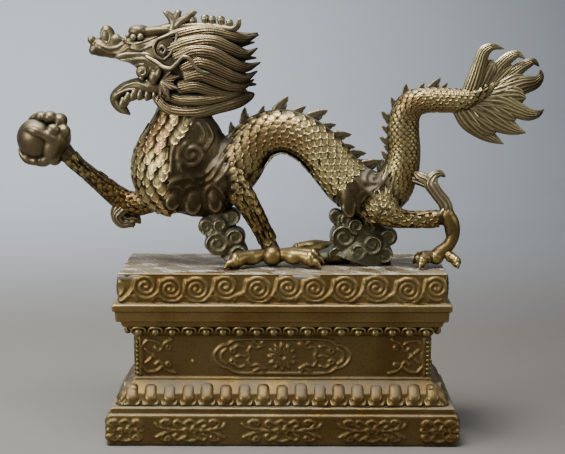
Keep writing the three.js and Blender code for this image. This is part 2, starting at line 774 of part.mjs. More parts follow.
// Spiral waves run along the slab as low bosses that wind up to a crest. The back face is left plain.
function scrollWaves() {
  const middle = foot.slab + SLAB_HEIGHT / 2;
  const high = SLAB_HEIGHT / 2 - SCROLL_MARGIN;
  const sides = 8;
  const spiral = (spacing) => {
    const wide = Math.min(high, 0.47 * spacing);
    const ring = (out, share) => Array.from({ length: sides }, (_, i) => {
      const angle = -(2 * Math.PI * i) / sides;
      return new THREE.Vector3(
        share(i) * wide * Math.cos(angle),
        -out,
        middle + share(i) * high * Math.sin(angle),
      );
    });
    const eye = [new THREE.Vector3(0, 0.2 * SCROLL_RELIEF, middle)];
    const crest = ring(SCROLL_RELIEF, (i) => 0.25 + (0.6 * i) / (sides - 1));
    const rim = ring(0, () => 1);
    const root = [new THREE.Vector3(0, SCROLL_RELIEF, middle)];
    return skin([eye, crest, rim, root]);
  };
  return FACES.filter(([turn]) => turn !== 180).flatMap((face) => {
    const count = Math.round((face[1] + 2 * SLAB_PROJECTION) / SCROLL_PITCH);
    return alongFace(face, SLAB_PROJECTION, count, spiral);
  });
}

// A low boss with a scalloped edge: the rosette in the cartouche, and the medallions on the base.
function scallopedBoss(halfWidth, halfHeight, scallops, relief, z) {
  const ring = (scale, y) => Array.from({ length: 2 * scallops }, (_, i) => {
    const angle = (Math.PI * i) / scallops;
    const reach = scale * (i % 2 === 0 ? 1 : 0.74);
    return new THREE.Vector3(
      reach * halfWidth * Math.cos(angle),
      y,
      z + reach * halfHeight * Math.sin(angle),
    );
  });
  const crest = [new THREE.Vector3(0, -relief, z)];
  const root = [new THREE.Vector3(0, 0.5, z)];
  return skin([crest, ring(1, 0.5), root]);
}

function bosses() {
  const dadoMiddle = foot.dado + DADO_HEIGHT / 2;
  const baseMiddle = foot.base + BASE_HEIGHT / 2;
  const rosette = () => scallopedBoss(ROSETTE_RADIUS, ROSETTE_RADIUS, ROSETTE_PETALS, 2, dadoMiddle);
  const medallion = () => scallopedBoss(MEDALLION_WIDTH / 2, 0.4 * BASE_HEIGHT, 6, 1.6, baseMiddle);
  return FACES.flatMap((face) => {
    const wide = face[1] > DADO_DEPTH;
    return [
      ...(wide ? alongFace(face, 0, 1, rosette) : []),
      ...alongFace(face, BASE_PROJECTION, wide ? MEDALLION_COUNT : 1, medallion),
    ];
  });
}

// A waved frame on the front of the dado, as one ridge of triangular section.
function cartouche() {
  const halfHeight = DADO_HEIGHT / 2 - CARTOUCHE_MARGIN;
  const middle = foot.dado + DADO_HEIGHT / 2;
  const outline = [];
  const count = 20;
  for (let i = 0; i < count; i += 1) {
    const angle = (2 * Math.PI * i) / count;
    const flat = (value, power) => Math.sign(value) * Math.abs(value) ** power;
    outline.push([
      (CARTOUCHE_WIDTH / 2) * flat(Math.cos(angle), 0.8),
      middle + halfHeight * flat(Math.sin(angle), 0.45) * (1 - 0.08 * Math.cos(4 * angle)),
    ]);
  }
  const ring = (grow, out) => outline.map(([x, z]) => new THREE.Vector3(
    x * (1 + grow / (CARTOUCHE_WIDTH / 2)),
    -(DADO_DEPTH / 2 + out),
    middle + (z - middle) * (1 + grow / halfHeight),
  ));
  const [crest, inner, outer] = [ring(0, CARTOUCHE_RELIEF), ring(-1, -0.6), ring(1, -0.6)];
  const positions = [];
  for (const p of [...outer, ...crest, ...inner]) positions.push(p.x, p.y, p.z);
  const index = [];
  for (let row = 0; row < 3; row += 1) {
    const next = (row + 1) % 3;
    for (let i = 0; i < count; i += 1) {
      const j = (i + 1) % count;
      const [a, b, c, d] = [row * count + i, row * count + j, next * count + j, next * count + i];
      index.push(a, b, c, a, c, d);
    }
  }
  const geometry = new THREE.BufferGeometry();
  geometry.setAttribute('position', new THREE.Float32BufferAttribute(positions, 3));
  geometry.setIndex(index);
  return toSolid(geometry);
}

function plinthSolid() {
  return joinAll([
    plinthCore(),
    beadCourse(),
    lotusCourse(),
    ...scrollWaves(),
    cartouche(),
    ...bosses(),
  ]);
}

// The sculpture: a brass dragon on its brass plinth.
const dragonBrass = new THREE.MeshStandardMaterial({ color: 0xa08a52, roughness: 0.42, metalness: 0.85 });
const plinthBrass = new THREE.MeshStandardMaterial({ color: 0x7a6430, roughness: 0.5, metalness: 0.8 });

const dragon = new THREE.Mesh(toGeometry(dragonSolid()), dragonBrass);
dragon.name = 'dragon';
dragon.position.z = PLINTH_HEIGHT;
dragon.scale.setScalar(step);

const plinth = new THREE.Mesh(toGeometry(plinthSolid()), plinthBrass);
plinth.name = 'plinth';

const sculpture = new THREE.Group();
sculpture.name = 'dragon_sculpture';
sculpture.add(plinth, dragon);

export default sculpture;
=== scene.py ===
# %% [markdown]
# # A cast-brass dragon on its plinth
# The imported CAD model is the frame that everything here is built around. It is loaded first, and the
# height of the plinth's top is read from it. Nothing that is made here may make the sculpture bigger.
# All shapes below are thought out in millimetres, as in the CAD, and are turned into metres when a mesh
# is made.

# %% Frame, units and the camera
import math

import bpy
import numpy as np
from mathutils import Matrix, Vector
from mathutils.bvhtree import BVHTree


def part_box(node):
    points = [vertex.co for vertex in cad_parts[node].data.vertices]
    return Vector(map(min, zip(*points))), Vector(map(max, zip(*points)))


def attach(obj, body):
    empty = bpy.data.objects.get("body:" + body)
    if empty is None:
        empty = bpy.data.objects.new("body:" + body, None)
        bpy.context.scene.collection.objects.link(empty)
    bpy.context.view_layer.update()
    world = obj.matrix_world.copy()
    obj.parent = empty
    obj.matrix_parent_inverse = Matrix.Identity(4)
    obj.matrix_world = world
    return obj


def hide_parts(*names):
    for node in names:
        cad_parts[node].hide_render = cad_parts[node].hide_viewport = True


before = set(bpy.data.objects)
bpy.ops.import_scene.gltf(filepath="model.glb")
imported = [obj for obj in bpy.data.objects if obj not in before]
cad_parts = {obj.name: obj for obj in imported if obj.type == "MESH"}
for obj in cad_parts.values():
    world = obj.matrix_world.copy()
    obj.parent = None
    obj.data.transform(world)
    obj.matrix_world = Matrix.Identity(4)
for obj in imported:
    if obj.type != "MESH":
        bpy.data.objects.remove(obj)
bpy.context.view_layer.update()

MM = 0.001
PLINTH_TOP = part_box("plinth")[1].z / MM
BODY = "root"
CAMERA_PLACE, CAMERA_LENS, SENSOR_WIDTH = (9.7, -900, 262.8), 88.65, 36
CAMERA_DOWN, CAMERA_LEFT = 8.16, 0.63


def add_camera():
    """The camera stands a little above the pearl and looks down by eight degrees."""
    data = bpy.data.cameras.new("studio_camera")
    data.lens = CAMERA_LENS
    data.sensor_width = SENSOR_WIDTH
    camera = bpy.data.objects.new("studio_camera", data)
    camera.location = [v * MM for v in CAMERA_PLACE]
    camera.rotation_euler = (math.radians(90 - CAMERA_DOWN), 0, math.radians(CAMERA_LEFT))
    bpy.context.collection.objects.link(camera)
    bpy.context.scene.camera = camera
    return camera


camera = add_camera()
print("plinth top at", round(PLINTH_TOP, 2), "mm; camera lens", camera.data.lens)

# %% [markdown]
# ## Helpers for hand-made meshes
# Every piece is first a list of closed shells, each a pair of points and faces. A smooth curve
# through a few stations gives the path of a limb or a lock, and a sweep draws an oval section
# along it. The same stations could be laid out by hand as curve objects, but numbers next to
# their piece are easier to compare with the CAD.


# %% Smooth paths, sweeps and lumps
def smooth_rows(stations, count):
    """Rows of values along a smooth curve through stations that start with x, y, z."""
    rows = np.array(stations, float)
    ends = np.vstack([2 * rows[0] - rows[1], rows, 2 * rows[-1] - rows[-2]])
    spans = np.linalg.norm(np.diff(ends[:, :3], axis=0), axis=1)
    knots = np.concatenate([[0], np.cumsum(np.sqrt(np.maximum(spans, 1e-6)))])
    out = []
    for share in np.linspace(0, len(rows) - 1, count):
        i = min(int(share), len(rows) - 2)
        p, k = ends[i:i + 4], knots[i:i + 4]
        t = k[1] + (share - i) * (k[2] - k[1])
        a = [((k[j + 1] - t) * p[j] + (t - k[j]) * p[j + 1]) / (k[j + 1] - k[j]) for j in range(3)]
        b = [((k[j + 2] - t) * a[j] + (t - k[j]) * a[j + 1]) / (k[j + 2] - k[j]) for j in range(2)]
        out.append(((k[2] - t) * b[0] + (t - k[1]) * b[1]) / (k[2] - k[1]))
    return np.array(out)


def frames_along(rows, across=(0, 1, 0)):
    """Unit vectors at each row: along the path, across it, and square to both."""
    along = np.gradient(rows[:, :3], axis=0)
    along /= np.maximum(np.linalg.norm(along, axis=1, keepdims=True), 1e-9)
    across = np.array(across, float)
    wide = across - along * (along @ across)[:, None]
    wide /= np.maximum(np.linalg.norm(wide, axis=1, keepdims=True), 1e-9)
    return along, wide, np.cross(along, wide)


def outward(points, faces):
    """The same shell with its faces turned outwards."""
    volume = 0.0
    for face in faces:
        a = points[face[0]]
        for j in range(1, len(face) - 1):
            volume += np.dot(a, np.cross(points[face[j]], points[face[j + 1]]))
    return points, faces if volume > 0 else [face[::-1] for face in faces]


def skin(rings):
    """A closed shell over rings with the same number of points, capped with a fan at each end."""
    rings = np.array(rings, float)
    count, sides = rings.shape[:2]
    points = np.vstack([rings.reshape(-1, 3), rings[0].mean(0), rings[-1].mean(0)])
    faces = []
    for k in range(count - 1):
        for i in range(sides):
            j = (i + 1) % sides
            faces.append((k * sides + i, k * sides + j, (k + 1) * sides + j, (k + 1) * sides + i))
    first, last = count * sides, count * sides + 1
    for i in range(sides):
        j = (i + 1) % sides
        faces.append((first, j, i))
        faces.append((last, (count - 1) * sides + i, (count - 1) * sides + j))
    return outward(points, faces)


def sweep(stations, sides=20, rings=None, across=(0, 1, 0), flutes=0, depth=0.0, turn=0.0):
    """An oval section drawn along stations of x, y, z, half-height and half-width.

    `flutes` grooves of relative depth `depth` run along it, and turn by `turn` from end to end.
    """
    stations = [list(row) + [row[3]] * (5 - len(row)) for row in stations]
    rows = smooth_rows(stations, rings or 8 * len(stations))
    _, wide, high = frames_along(rows, across)
    angle = np.linspace(0, 2 * math.pi, sides, endpoint=False)
    share = np.linspace(0, 1, len(rows))[:, None]
    swell = 1 - depth * (0.5 - 0.5 * np.cos(flutes * (angle[None, :] + turn * share)))
    half_high = np.maximum(rows[:, 3], 0.02)[:, None] * swell * np.cos(angle)
    half_wide = np.maximum(rows[:, 4], 0.02)[:, None] * swell * np.sin(angle)
    rings_xyz = (
        rows[:, None, :3]
        + high[:, None, :] * half_high[:, :, None]
        + wide[:, None, :] * half_wide[:, :, None]
    )
    return skin(rings_xyz)


def lump(centre, half_sizes, lean=0.0, around=20, up=14):
    """An egg shape, tilted about Y by `lean` degrees."""
    angle = np.linspace(0, 2 * math.pi, around, endpoint=False)
    rings = []
    for j in range(1, up):
        polar = math.pi * j / up
        rings.append(np.stack([
            half_sizes[0] * math.sin(polar) * np.cos(angle),
            half_sizes[1] * math.sin(polar) * np.sin(angle),
            np.full(around, half_sizes[2] * math.cos(polar)),
        ], axis=1))
    points, faces = skin(rings)
    c, s = math.cos(math.radians(lean)), math.sin(math.radians(lean))
    tilt = np.array([[c, 0, s], [0, 1, 0], [-s, 0, c]])
    return points @ tilt.T + np.array(centre, float), faces


def grid_faces(wide, deep):
    """Faces over `deep` rows of `wide` points each, and the points round the edge in order."""
    faces = [(k, k + 1, k + wide + 1, k + wide)
             for j in range(deep - 1) for k in range(j * wide, j * wide + wide - 1)]
    rim = list(range(wide)) + [j * wide + wide - 1 for j in range(1, deep)]
    rim += [(deep - 1) * wide + i for i in range(wide - 2, -1, -1)]
    rim += [j * wide for j in range(deep - 2, 0, -1)]
    return faces, rim


def with_back(points, faces, rim, behind):
    """A closed shell from a grid, with sides from its rim to the points behind, and a back."""
    start, count = len(points), len(rim)
    sides = [(rim[(k + 1) % count], rim[k], start + k, start + (k + 1) % count) for k in range(count)]
    back = tuple(range(start, start + count))
    return outward(np.array(points + behind, float), faces + sides + [back])


def mirrored(shell):
    """The same shell on the other side of the dragon's middle plane."""
    points, faces = shell
    return points * np.array([1, -1, 1]), [face[::-1] for face in faces]


def both_sides(shells):
    return list(shells) + [mirrored(shell) for shell in shells]


def piece_from(name, shells, lift=0.0):
    """One mesh object from shells in millimetres, lifted by `lift`."""
    points, faces, start = [], [], 0
    for shell_points, shell_faces in shells:
        points.append(shell_points)
        faces += [tuple(i + start for i in face) for face in shell_faces]
        start += len(shell_points)
    all_points = (np.vstack(points) + np.array([0, 0, lift])) * MM
    mesh = bpy.data.meshes.new(name)
    mesh.from_pydata(all_points.tolist(), [], faces)
    mesh.shade_smooth()
    thing = bpy.data.objects.new(name, mesh)
    bpy.context.collection.objects.link(thing)
    return thing


def made_plain(thing):
    """Turns an object with live modifiers into one plain mesh."""
    depsgraph = bpy.context.evaluated_depsgraph_get()
    mesh = bpy.data.meshes.new_from_object(
        thing.evaluated_get(depsgraph), preserve_all_data_layers=True, depsgraph=depsgraph
    )
    thing.modifiers.clear()
    old = thing.data
    mesh.name = thing.name
    thing.data = mesh
    if old.users == 0 and isinstance(old, bpy.types.Mesh):
        bpy.data.meshes.remove(old)
    return thing


def fused(thing, voxel, passes=4):
    """Melts overlapping shells into one skin, as wax is before it is cast, and smooths the joins."""
    melt = thing.modifiers.new("melt", "REMESH")
    melt.mode = "VOXEL"
    melt.voxel_size = voxel * MM
    melt.use_smooth_shade = True
    soften = thing.modifiers.new("soften", "SMOOTH")
    soften.factor = 0.5
    soften.iterations = passes
    return made_plain(thing)


def report(thing):
    thing.data.calc_loop_triangles()
    size = [round(v / MM, 1) for v in thing.dimensions]
    print(thing.name, "is", size, "mm with", len(thing.data.loop_triangles), "triangles")


def cast_in(metal, thing):
    """Gives a finished piece its metal."""
    thing.data.materials.append(metal)
    report(thing)
    return thing


# %% [markdown]
# ## Geometry Nodes trees
# Three trees do the repeated work. One raises ridges on a surface wherever a drawn line runs
# close to it, as a carver leaves a raised line. One sets an ornament at even steps along a line.
# One lays scales or fins on seats that know which way is out and which way is back.


# %% A tree needs sockets, nodes and links
def new_tree(name, inputs):
    """A node tree with named inputs, each (name, socket type, default)."""
    tree = bpy.data.node_groups.new(name, "GeometryNodeTree")
    tree.interface.new_socket("Geometry", in_out="INPUT", socket_type="NodeSocketGeometry")
    for label, kind, default in inputs:
        socket = tree.interface.new_socket(label, in_out="INPUT", socket_type="NodeSocket" + kind)
        if default is not None:
            socket.default_value = default
    tree.interface.new_socket("Geometry", in_out="OUTPUT", socket_type="NodeSocketGeometry")
    return tree


def add_node(tree, kind, links=(), **settings):
    """A node with its settings, whose inputs are linked or set: (input, value or output socket)."""
    node = tree.nodes.new(kind)
    for key, value in settings.items():
        setattr(node, key, value)
    for key, value in links:
        if isinstance(value, bpy.types.NodeSocket):
            tree.links.new(value, node.inputs[key])
        else:
            node.inputs[key].default_value = value
    return node


def grow(thing, tree, **values):
    """Runs a tree on an object, with inputs given by name and set by their identifiers."""
    modifier = thing.modifiers.new(tree.name, "NODES")
    modifier.node_group = tree
    for item in tree.interface.items_tree:
        if item.item_type == "SOCKET" and item.in_out == "INPUT" and item.name in values:
            modifier[item.identifier] = values[item.name]
    return thing


# %% Raised lines
def build_relief_tree():
    tree = new_tree("raised_lines", [
        ("Lines", "Object", None),
        ("Ridge Width", "Float", 0.001),
        ("Ridge Height", "Float", 0.001),
        ("Grain Depth", "Float", 0.0),
        ("Grain Scale", "Float", 900.0),
        ("Metal", "Material", None),
    ])
    start = add_node(tree, "NodeGroupInput").outputs
    lines = add_node(tree, "GeometryNodeObjectInfo", [("Object", start["Lines"])])
    near = add_node(tree, "GeometryNodeProximity", target_element="EDGES")
    tree.links.new(lines.outputs["Geometry"], near.inputs[0])
    profile = add_node(tree, "ShaderNodeMapRange", [
        ("Value", near.outputs["Distance"]),
        ("From Min", start["Ridge Width"]), ("From Max", 0.0), ("To Min", 0.0), ("To Max", 1.0),
    ], interpolation_type="SMOOTHSTEP")
    ridge = add_node(tree, "ShaderNodeMath", [
        (0, profile.outputs["Result"]), (1, start["Ridge Height"]),
    ], operation="MULTIPLY")
    grain = add_node(tree, "ShaderNodeTexNoise", [("Scale", start["Grain Scale"]), ("Detail", 3.0)])
    centred = add_node(tree, "ShaderNodeMath", [(0, grain.outputs[0]), (1, 0.5)], operation="SUBTRACT")
    pits = add_node(tree, "ShaderNodeMath", [
        (0, centred.outputs[0]), (1, start["Grain Depth"]), (2, ridge.outputs[0]),
    ], operation="MULTIPLY_ADD")
    normal = add_node(tree, "GeometryNodeInputNormal")
    push = add_node(tree, "ShaderNodeVectorMath", [
        (0, normal.outputs[0]), ("Scale", pits.outputs[0]),
    ], operation="SCALE")
    moved = add_node(tree, "GeometryNodeSetPosition", [
        ("Geometry", start["Geometry"]), ("Offset", push.outputs[0]),
    ])
    metal = add_node(tree, "GeometryNodeSetMaterial", [
        ("Geometry", moved.outputs[0]), ("Material", start["Metal"]),
    ])
    add_node(tree, "NodeGroupOutput", [("Geometry", metal.outputs[0])])
    return tree


relief_tree = build_relief_tree()


def line_object(name, polylines, lift=0.0):
    """Drawn lines as a mesh of bare edges, to be read by the relief tree and then removed."""
    points, edges = [], []
    for line in polylines:
        start = len(points)
        points += [((np.array(p, float) + np.array([0, 0, lift])) * MM).tolist() for p in line]
        edges += [(start + i, start + i + 1) for i in range(len(line) - 1)]
    mesh = bpy.data.meshes.new(name)
    mesh.from_pydata(points, edges, [])
    thing = bpy.data.objects.new(name, mesh)
    bpy.context.collection.objects.link(thing)
    return thing


def raise_lines(thing, polylines, width, height, metal, grain=0.0, grain_size=1.1, lift=0.0):
    """Raises ridges of a half-width and height on a piece where the lines run."""
    lines = line_object(thing.name + "_lines", polylines, lift)
    grow(thing, relief_tree, **{
        "Lines": lines, "Ridge Width": width * MM, "Ridge Height": height * MM,
        "Grain Depth": grain * MM, "Grain Scale": 1 / (grain_size * MM), "Metal": metal,
    })
    made_plain(thing)
    bpy.data.objects.remove(lines)
    return thing


# %% Ornaments in a row
def uneven_size(tree, start):
    """A random factor about one, within the tree's Unevenness."""
    least = add_node(tree, "ShaderNodeMath", [(0, 1.0), (1, start["Unevenness"])], operation="SUBTRACT")
    most = add_node(tree, "ShaderNodeMath", [(0, 1.0), (1, start["Unevenness"])], operation="ADD")
    return add_node(tree, "FunctionNodeRandomValue", [
        (2, least.outputs[0]), (3, most.outputs[0]), ("Seed", start["Seed"]),
    ], data_type="FLOAT").outputs[1]


def set_ornaments(tree, start, points, turn, size):
    """Ends a tree with the ornament on each point, as real geometry in the tree's metal."""
    ornament = add_node(tree, "GeometryNodeObjectInfo", [("Object", start["Ornament"])])
    placed = add_node(tree, "GeometryNodeInstanceOnPoints", [
        ("Points", points), ("Instance", ornament.outputs["Geometry"]),
        ("Rotation", turn), ("Scale", size),
    ])
    real = add_node(tree, "GeometryNodeRealizeInstances", [("Geometry", placed.outputs[0])])
    metal = add_node(tree, "GeometryNodeSetMaterial", [
        ("Geometry", real.outputs[0]), ("Material", start["Metal"]),
    ])
    add_node(tree, "NodeGroupOutput", [("Geometry", metal.outputs[0])])


def build_row_tree():
    tree = new_tree("ornament_row", [
        ("Ornament", "Object", None),
        ("Pitch", "Float", 0.01),
        ("Unevenness", "Float", 0.05),
        ("Seed", "Int", 7),
        ("Metal", "Material", None),
    ])
    start = add_node(tree, "NodeGroupInput").outputs
    path = add_node(tree, "GeometryNodeMeshToCurve", [("Mesh", start["Geometry"])])
    spaced = add_node(tree, "GeometryNodeResampleCurve", [
        ("Curve", path.outputs[0]), ("Length", start["Pitch"]),
    ], mode="LENGTH")
    tangent = add_node(tree, "GeometryNodeInputTangent")
    turn = add_node(tree, "FunctionNodeAlignRotationToVector", [
        ("Vector", tangent.outputs[0]),
    ], axis="X", pivot_axis="Z")
    set_ornaments(tree, start, spaced.outputs[0], turn.outputs[0], uneven_size(tree, start))
    return tree


row_tree = build_row_tree()


# %% Scales and fins on seats
def build_seat_tree():
    tree = new_tree("pieces_on_seats", [
        ("Ornament", "Object", None),
        ("Unevenness", "Float", 0.06),
        ("Seed", "Int", 11),
        ("Metal", "Material", None),
    ])
    start = add_node(tree, "NodeGroupInput").outputs
    out, back, size = [
        add_node(tree, "GeometryNodeInputNamedAttribute", [("Name", label)], data_type="FLOAT_VECTOR")
        for label in ("out", "back", "size")
    ]
    turn = add_node(tree, "FunctionNodeAxesToRotation", [
        ("Primary Axis", out.outputs[0]), ("Secondary Axis", back.outputs[0]),
    ], primary_axis="Z", secondary_axis="X")
    scaled = add_node(tree, "ShaderNodeVectorMath", [
        (0, size.outputs[0]), ("Scale", uneven_size(tree, start)),
    ], operation="SCALE")
    set_ornaments(tree, start, start["Geometry"], turn.outputs[0], scaled.outputs[0])
    return tree


seat_tree = build_seat_tree()


def set_on_seats(name, ornament, seats, metal, unevenness=0.06, seed=11, lift=0.0):
    """Lays an ornament on seats, each (point, out, back, size along, size across, size out)."""
    mesh = bpy.data.meshes.new(name)
    points = (np.array([s[0] for s in seats], float) + np.array([0, 0, lift])) * MM
    mesh.from_pydata(points.tolist(), [], [])
    for label, column in (("out", 1), ("back", 2)):
        layer = mesh.attributes.new(label, "FLOAT_VECTOR", "POINT")
        layer.data.foreach_set("vector", np.array([s[column] for s in seats], float).ravel())
    layer = mesh.attributes.new("size", "FLOAT_VECTOR", "POINT")
    layer.data.foreach_set("vector", np.array([s[3:6] for s in seats], float).ravel())
    thing = bpy.data.objects.new(name, mesh)
    bpy.context.collection.objects.link(thing)
    grow(thing, seat_tree, **{
        "Ornament": ornament, "Unevenness": unevenness, "Seed": seed, "Metal": metal,
    })
    return made_plain(thing)


print("trees:", [tree.name for tree in bpy.data.node_groups])

# %% [markdown]
# ## Aged brass
# Old brass is dark brown where hands never reach, warm gold on open faces, and pale where it is
# rubbed. Dust settles on whatever faces up. Four shared shader groups measure that: crevices with
# their rubbed crests, settled dust, patches of patina, and casting grain. Each metal then mixes its
# own colours with those masks.


# %% Shader groups
def new_group(name, inputs, outputs):
    """A shader node group with named inputs (name, kind, default) and outputs (name, kind)."""
    group = bpy.data.node_groups.new(name, "ShaderNodeTree")
    for label, kind, default in inputs:
        socket = group.interface.new_socket(label, in_out="INPUT", socket_type="NodeSocket" + kind)
        socket.default_value = default
    for label, kind in outputs:
        group.interface.new_socket(label, in_out="OUTPUT", socket_type="NodeSocket" + kind)
    return group


def object_noise(tree, scale, detail=3.0):
    """Noise on the piece's own coordinates, so that it stays on the metal as the piece moves."""
    where = add_node(tree, "ShaderNodeTexCoord")
    return add_node(tree, "ShaderNodeTexNoise", [
        ("Vector", where.outputs["Object"]), ("Scale", scale), ("Detail", detail),
    ]).outputs[0]


def ramp(tree, value, low, high, to_low=0.0, to_high=1.0):
    """A soft step from to_low at `low` to to_high at `high`."""
    return add_node(tree, "ShaderNodeMapRange", [
        ("Value", value), ("From Min", low), ("From Max", high),
        ("To Min", to_low), ("To Max", to_high),
    ], interpolation_type="SMOOTHSTEP").outputs[0]


def build_crevice_group():
    group = new_group("crevices", [("Reach", "Float", 0.006), ("Depth", "Float", 0.75)],
                      [("Recess", "Float"), ("Rubbed", "Float")])
    start = add_node(group, "NodeGroupInput").outputs
    open_sky = add_node(group, "ShaderNodeAmbientOcclusion", [("Distance", start["Reach"])], samples=8)
    recess = ramp(group, open_sky.outputs["AO"], start["Depth"], 0.3)
    shape = add_node(group, "ShaderNodeNewGeometry")
    rubbed = ramp(group, shape.outputs["Pointiness"], 0.505, 0.58)
    add_node(group, "NodeGroupOutput", [("Recess", recess), ("Rubbed", rubbed)])
    return group


def build_dust_group():
    group = new_group("settled_dust", [("Steepness", "Float", 0.45), ("Patch Scale", "Float", 60.0)],
                      [("Dust", "Float")])
    start = add_node(group, "NodeGroupInput").outputs
    shape = add_node(group, "ShaderNodeNewGeometry")
    facing = add_node(group, "ShaderNodeSeparateXYZ", [("Vector", shape.outputs["Normal"])])
    level = ramp(group, facing.outputs["Z"], start["Steepness"], 1.0)
    patches = ramp(group, object_noise(group, start["Patch Scale"]), 0.3, 0.62)
    mask = add_node(group, "ShaderNodeMath", [(0, level), (1, patches)], operation="MULTIPLY")
    add_node(group, "NodeGroupOutput", [("Dust", mask.outputs[0])])
    return group


def build_patch_group():
    group = new_group("patina_patches", [("Patch Scale", "Float", 25.0)],
                      [("Patches", "Float"), ("Specks", "Float")])
    start = add_node(group, "NodeGroupInput").outputs
    wide = object_noise(group, start["Patch Scale"])
    patches = ramp(group, wide, 0.38, 0.66)
    specks = ramp(group, object_noise(group, 900.0, 4.0), 0.52, 0.7)
    add_node(group, "NodeGroupOutput", [("Patches", patches), ("Specks", specks)])
    return group


def build_grain_group():
    group = new_group("casting_grain", [("Grain Scale", "Float", 1400.0),
                                        ("Pit Scale", "Float", 500.0)],
                      [("Height", "Float")])
    start = add_node(group, "NodeGroupInput").outputs
    where = add_node(group, "ShaderNodeTexCoord")
    fine = object_noise(group, start["Grain Scale"], 4.0)
    pits = add_node(group, "ShaderNodeTexVoronoi", [
        ("Vector", where.outputs["Object"]), ("Scale", start["Pit Scale"]),
    ])
    dents = ramp(group, pits.outputs["Distance"], 0.0, 0.45)
    height = add_node(group, "ShaderNodeMath", [(0, fine), (1, dents), (2, 0.0)],
                      operation="MULTIPLY_ADD")
    add_node(group, "NodeGroupOutput", [("Height", height.outputs[0])])
    return group


crevice_group = build_crevice_group()
dust_group = build_dust_group()
patch_group = build_patch_group()
grain_group = build_grain_group()


# %% Metals
def paint(code):
    """A linear colour from its six-figure screen code."""
    values = [int(code[i:i + 2], 16) / 255 for i in (1, 3, 5)]
    return tuple([((v + 0.055) / 1.055) ** 2.4 if v > 0.04045 else v / 12.92 for v in values] + [1.0])


def mixed(tree, share, low, high):
    """A colour between two, by a mask."""
    node = add_node(tree, "ShaderNodeMix", data_type="RGBA")
    for index, value in ((0, share), (6, low), (7, high)):
        if isinstance(value, bpy.types.NodeSocket):
            tree.links.new(value, node.inputs[index])
        else:
            node.inputs[index].default_value = value
    return node.outputs[2]


def blended(tree, share, low, high):
    """A number between two, by a mask."""
    return add_node(tree, "ShaderNodeMix", [(0, share), (2, low), (3, high)]).outputs[0]


def times(tree, value, factor):
    return add_node(tree, "ShaderNodeMath", [(0, value), (1, factor)],
                    operation="MULTIPLY").outputs[0]


def aged_brass(name, deep, warm, body, rubbed, dust, dusty=0.6, reach=6.0, grain=0.25,
               rub=1.0, patch_scale=25.0, dust_scale=60.0, steepness=0.45, tips=None, shine=0.3,
               lodged=0.0):
    """One brass of the casting, with its own five colours for the shared masks.

    `tips` is where along X, in millimetres, the metal starts and ends its darkening. The last
    argument is how dark the painted shade is that each scale's own attribute marks, under the tip
    of the scale before it and along its sides.
    """
    metal = bpy.data.materials.new(name)
    metal.use_nodes = True
    tree = metal.node_tree
    shader = tree.nodes["Principled BSDF"]

    def group_node(group, **values):
        node = tree.nodes.new("ShaderNodeGroup")
        node.node_tree = group
        for label, value in values.items():
            node.inputs[label.replace("_", " ")].default_value = value
        return node.outputs

    crevice = group_node(crevice_group, Reach=reach * MM, Depth=0.8)
    patch = group_node(patch_group, Patch_Scale=patch_scale)
    settled = group_node(dust_group, Steepness=steepness, Patch_Scale=dust_scale)
    height = group_node(grain_group)["Height"]

    colour = mixed(tree, patch["Patches"], paint(body), paint(warm))
    worn = times(tree, crevice["Rubbed"], rub)
    colour = mixed(tree, worn, colour, paint(rubbed))
    speckled = times(tree, patch["Specks"], 0.35)
    colour = mixed(tree, speckled, colour, paint(deep))
    colour = mixed(tree, crevice["Recess"], colour, paint(deep))
    if tips:
        where = add_node(tree, "ShaderNodeTexCoord")
        place = add_node(tree, "ShaderNodeSeparateXYZ", [("Vector", where.outputs["Object"])])
        darkened = ramp(tree, place.outputs["X"], tips[0] * MM, tips[1] * MM, 0.0, 0.85)
        colour = mixed(tree, darkened, colour, paint(deep))
    # Painted shade: each scale is darkened under the tip of the scale before it and along its sides.
    if lodged:
        overlap_shade_node = add_node(tree, "ShaderNodeAttribute", attribute_name="lodged")
        colour = mixed(tree, times(tree, overlap_shade_node.outputs["Fac"], lodged), colour, paint(deep))
    dust_share = times(tree, settled["Dust"], dusty)
    colour = mixed(tree, dust_share, colour, paint(dust))
    tree.links.new(colour, shader.inputs["Base Color"])

    roughness = blended(tree, worn, shine + 0.12, shine)
    roughness = blended(tree, crevice["Recess"], roughness, 0.75)
    roughness = blended(tree, dust_share, roughness, 0.9)
    tree.links.new(roughness, shader.inputs["Roughness"])
    metallic = blended(tree, crevice["Recess"], 0.95, 0.5)
    metallic = blended(tree, dust_share, metallic, 0.1)
    tree.links.new(metallic, shader.inputs["Metallic"])
    bump = add_node(tree, "ShaderNodeBump", [
        ("Strength", grain), ("Distance", 0.3 * MM), ("Height", height),
    ])
    tree.links.new(bump.outputs[0], shader.inputs["Normal"])
    return metal


plinth_metal = aged_brass("plinth_brass", "#1c150a", "#634c29", "#715e39", "#ab9862", "#89816f",
                          dusty=0.7, rub=0.65, steepness=0.35)
# The cornice brass is the plinth brass painted lighter: a painted golden sheen on the band under the
# ledge, which the overhead light leaves darker.
cornice_sheen_metal = aged_brass("cornice_brass", "#1f170b", "#745a31", "#826c41", "#b39c68", "#89816f",
                           dusty=0.6, rub=0.65, steepness=0.5, reach=3.0)
top_metal = aged_brass("dusty_slab_top", "#837f76", "#9a968f", "#a09d97", "#b5b2aa", "#bab7b0",
                       dusty=0.9, grain=1.0, patch_scale=160.0, dust_scale=420.0, steepness=0.2,
                       shine=0.7)
scale_metal = aged_brass("rubbed_scale_brass", "#161009", "#a28558", "#bcab76", "#f4e7bb", "#979180",
                         dusty=0.25, reach=3.5, shine=0.24, lodged=0.92)
limb_metal = aged_brass("limb_scale_brass", "#140e06", "#84663c", "#9a8a5a", "#e6d9ac", "#8f8977",
                        dusty=0.2, reach=3.5, shine=0.24, lodged=0.92)
body_metal = aged_brass("body_brass", "#150f08", "#413522", "#544931", "#a39570", "#77736a",
                        dusty=0.6, reach=7.0, steepness=0.15, rub=0.8)
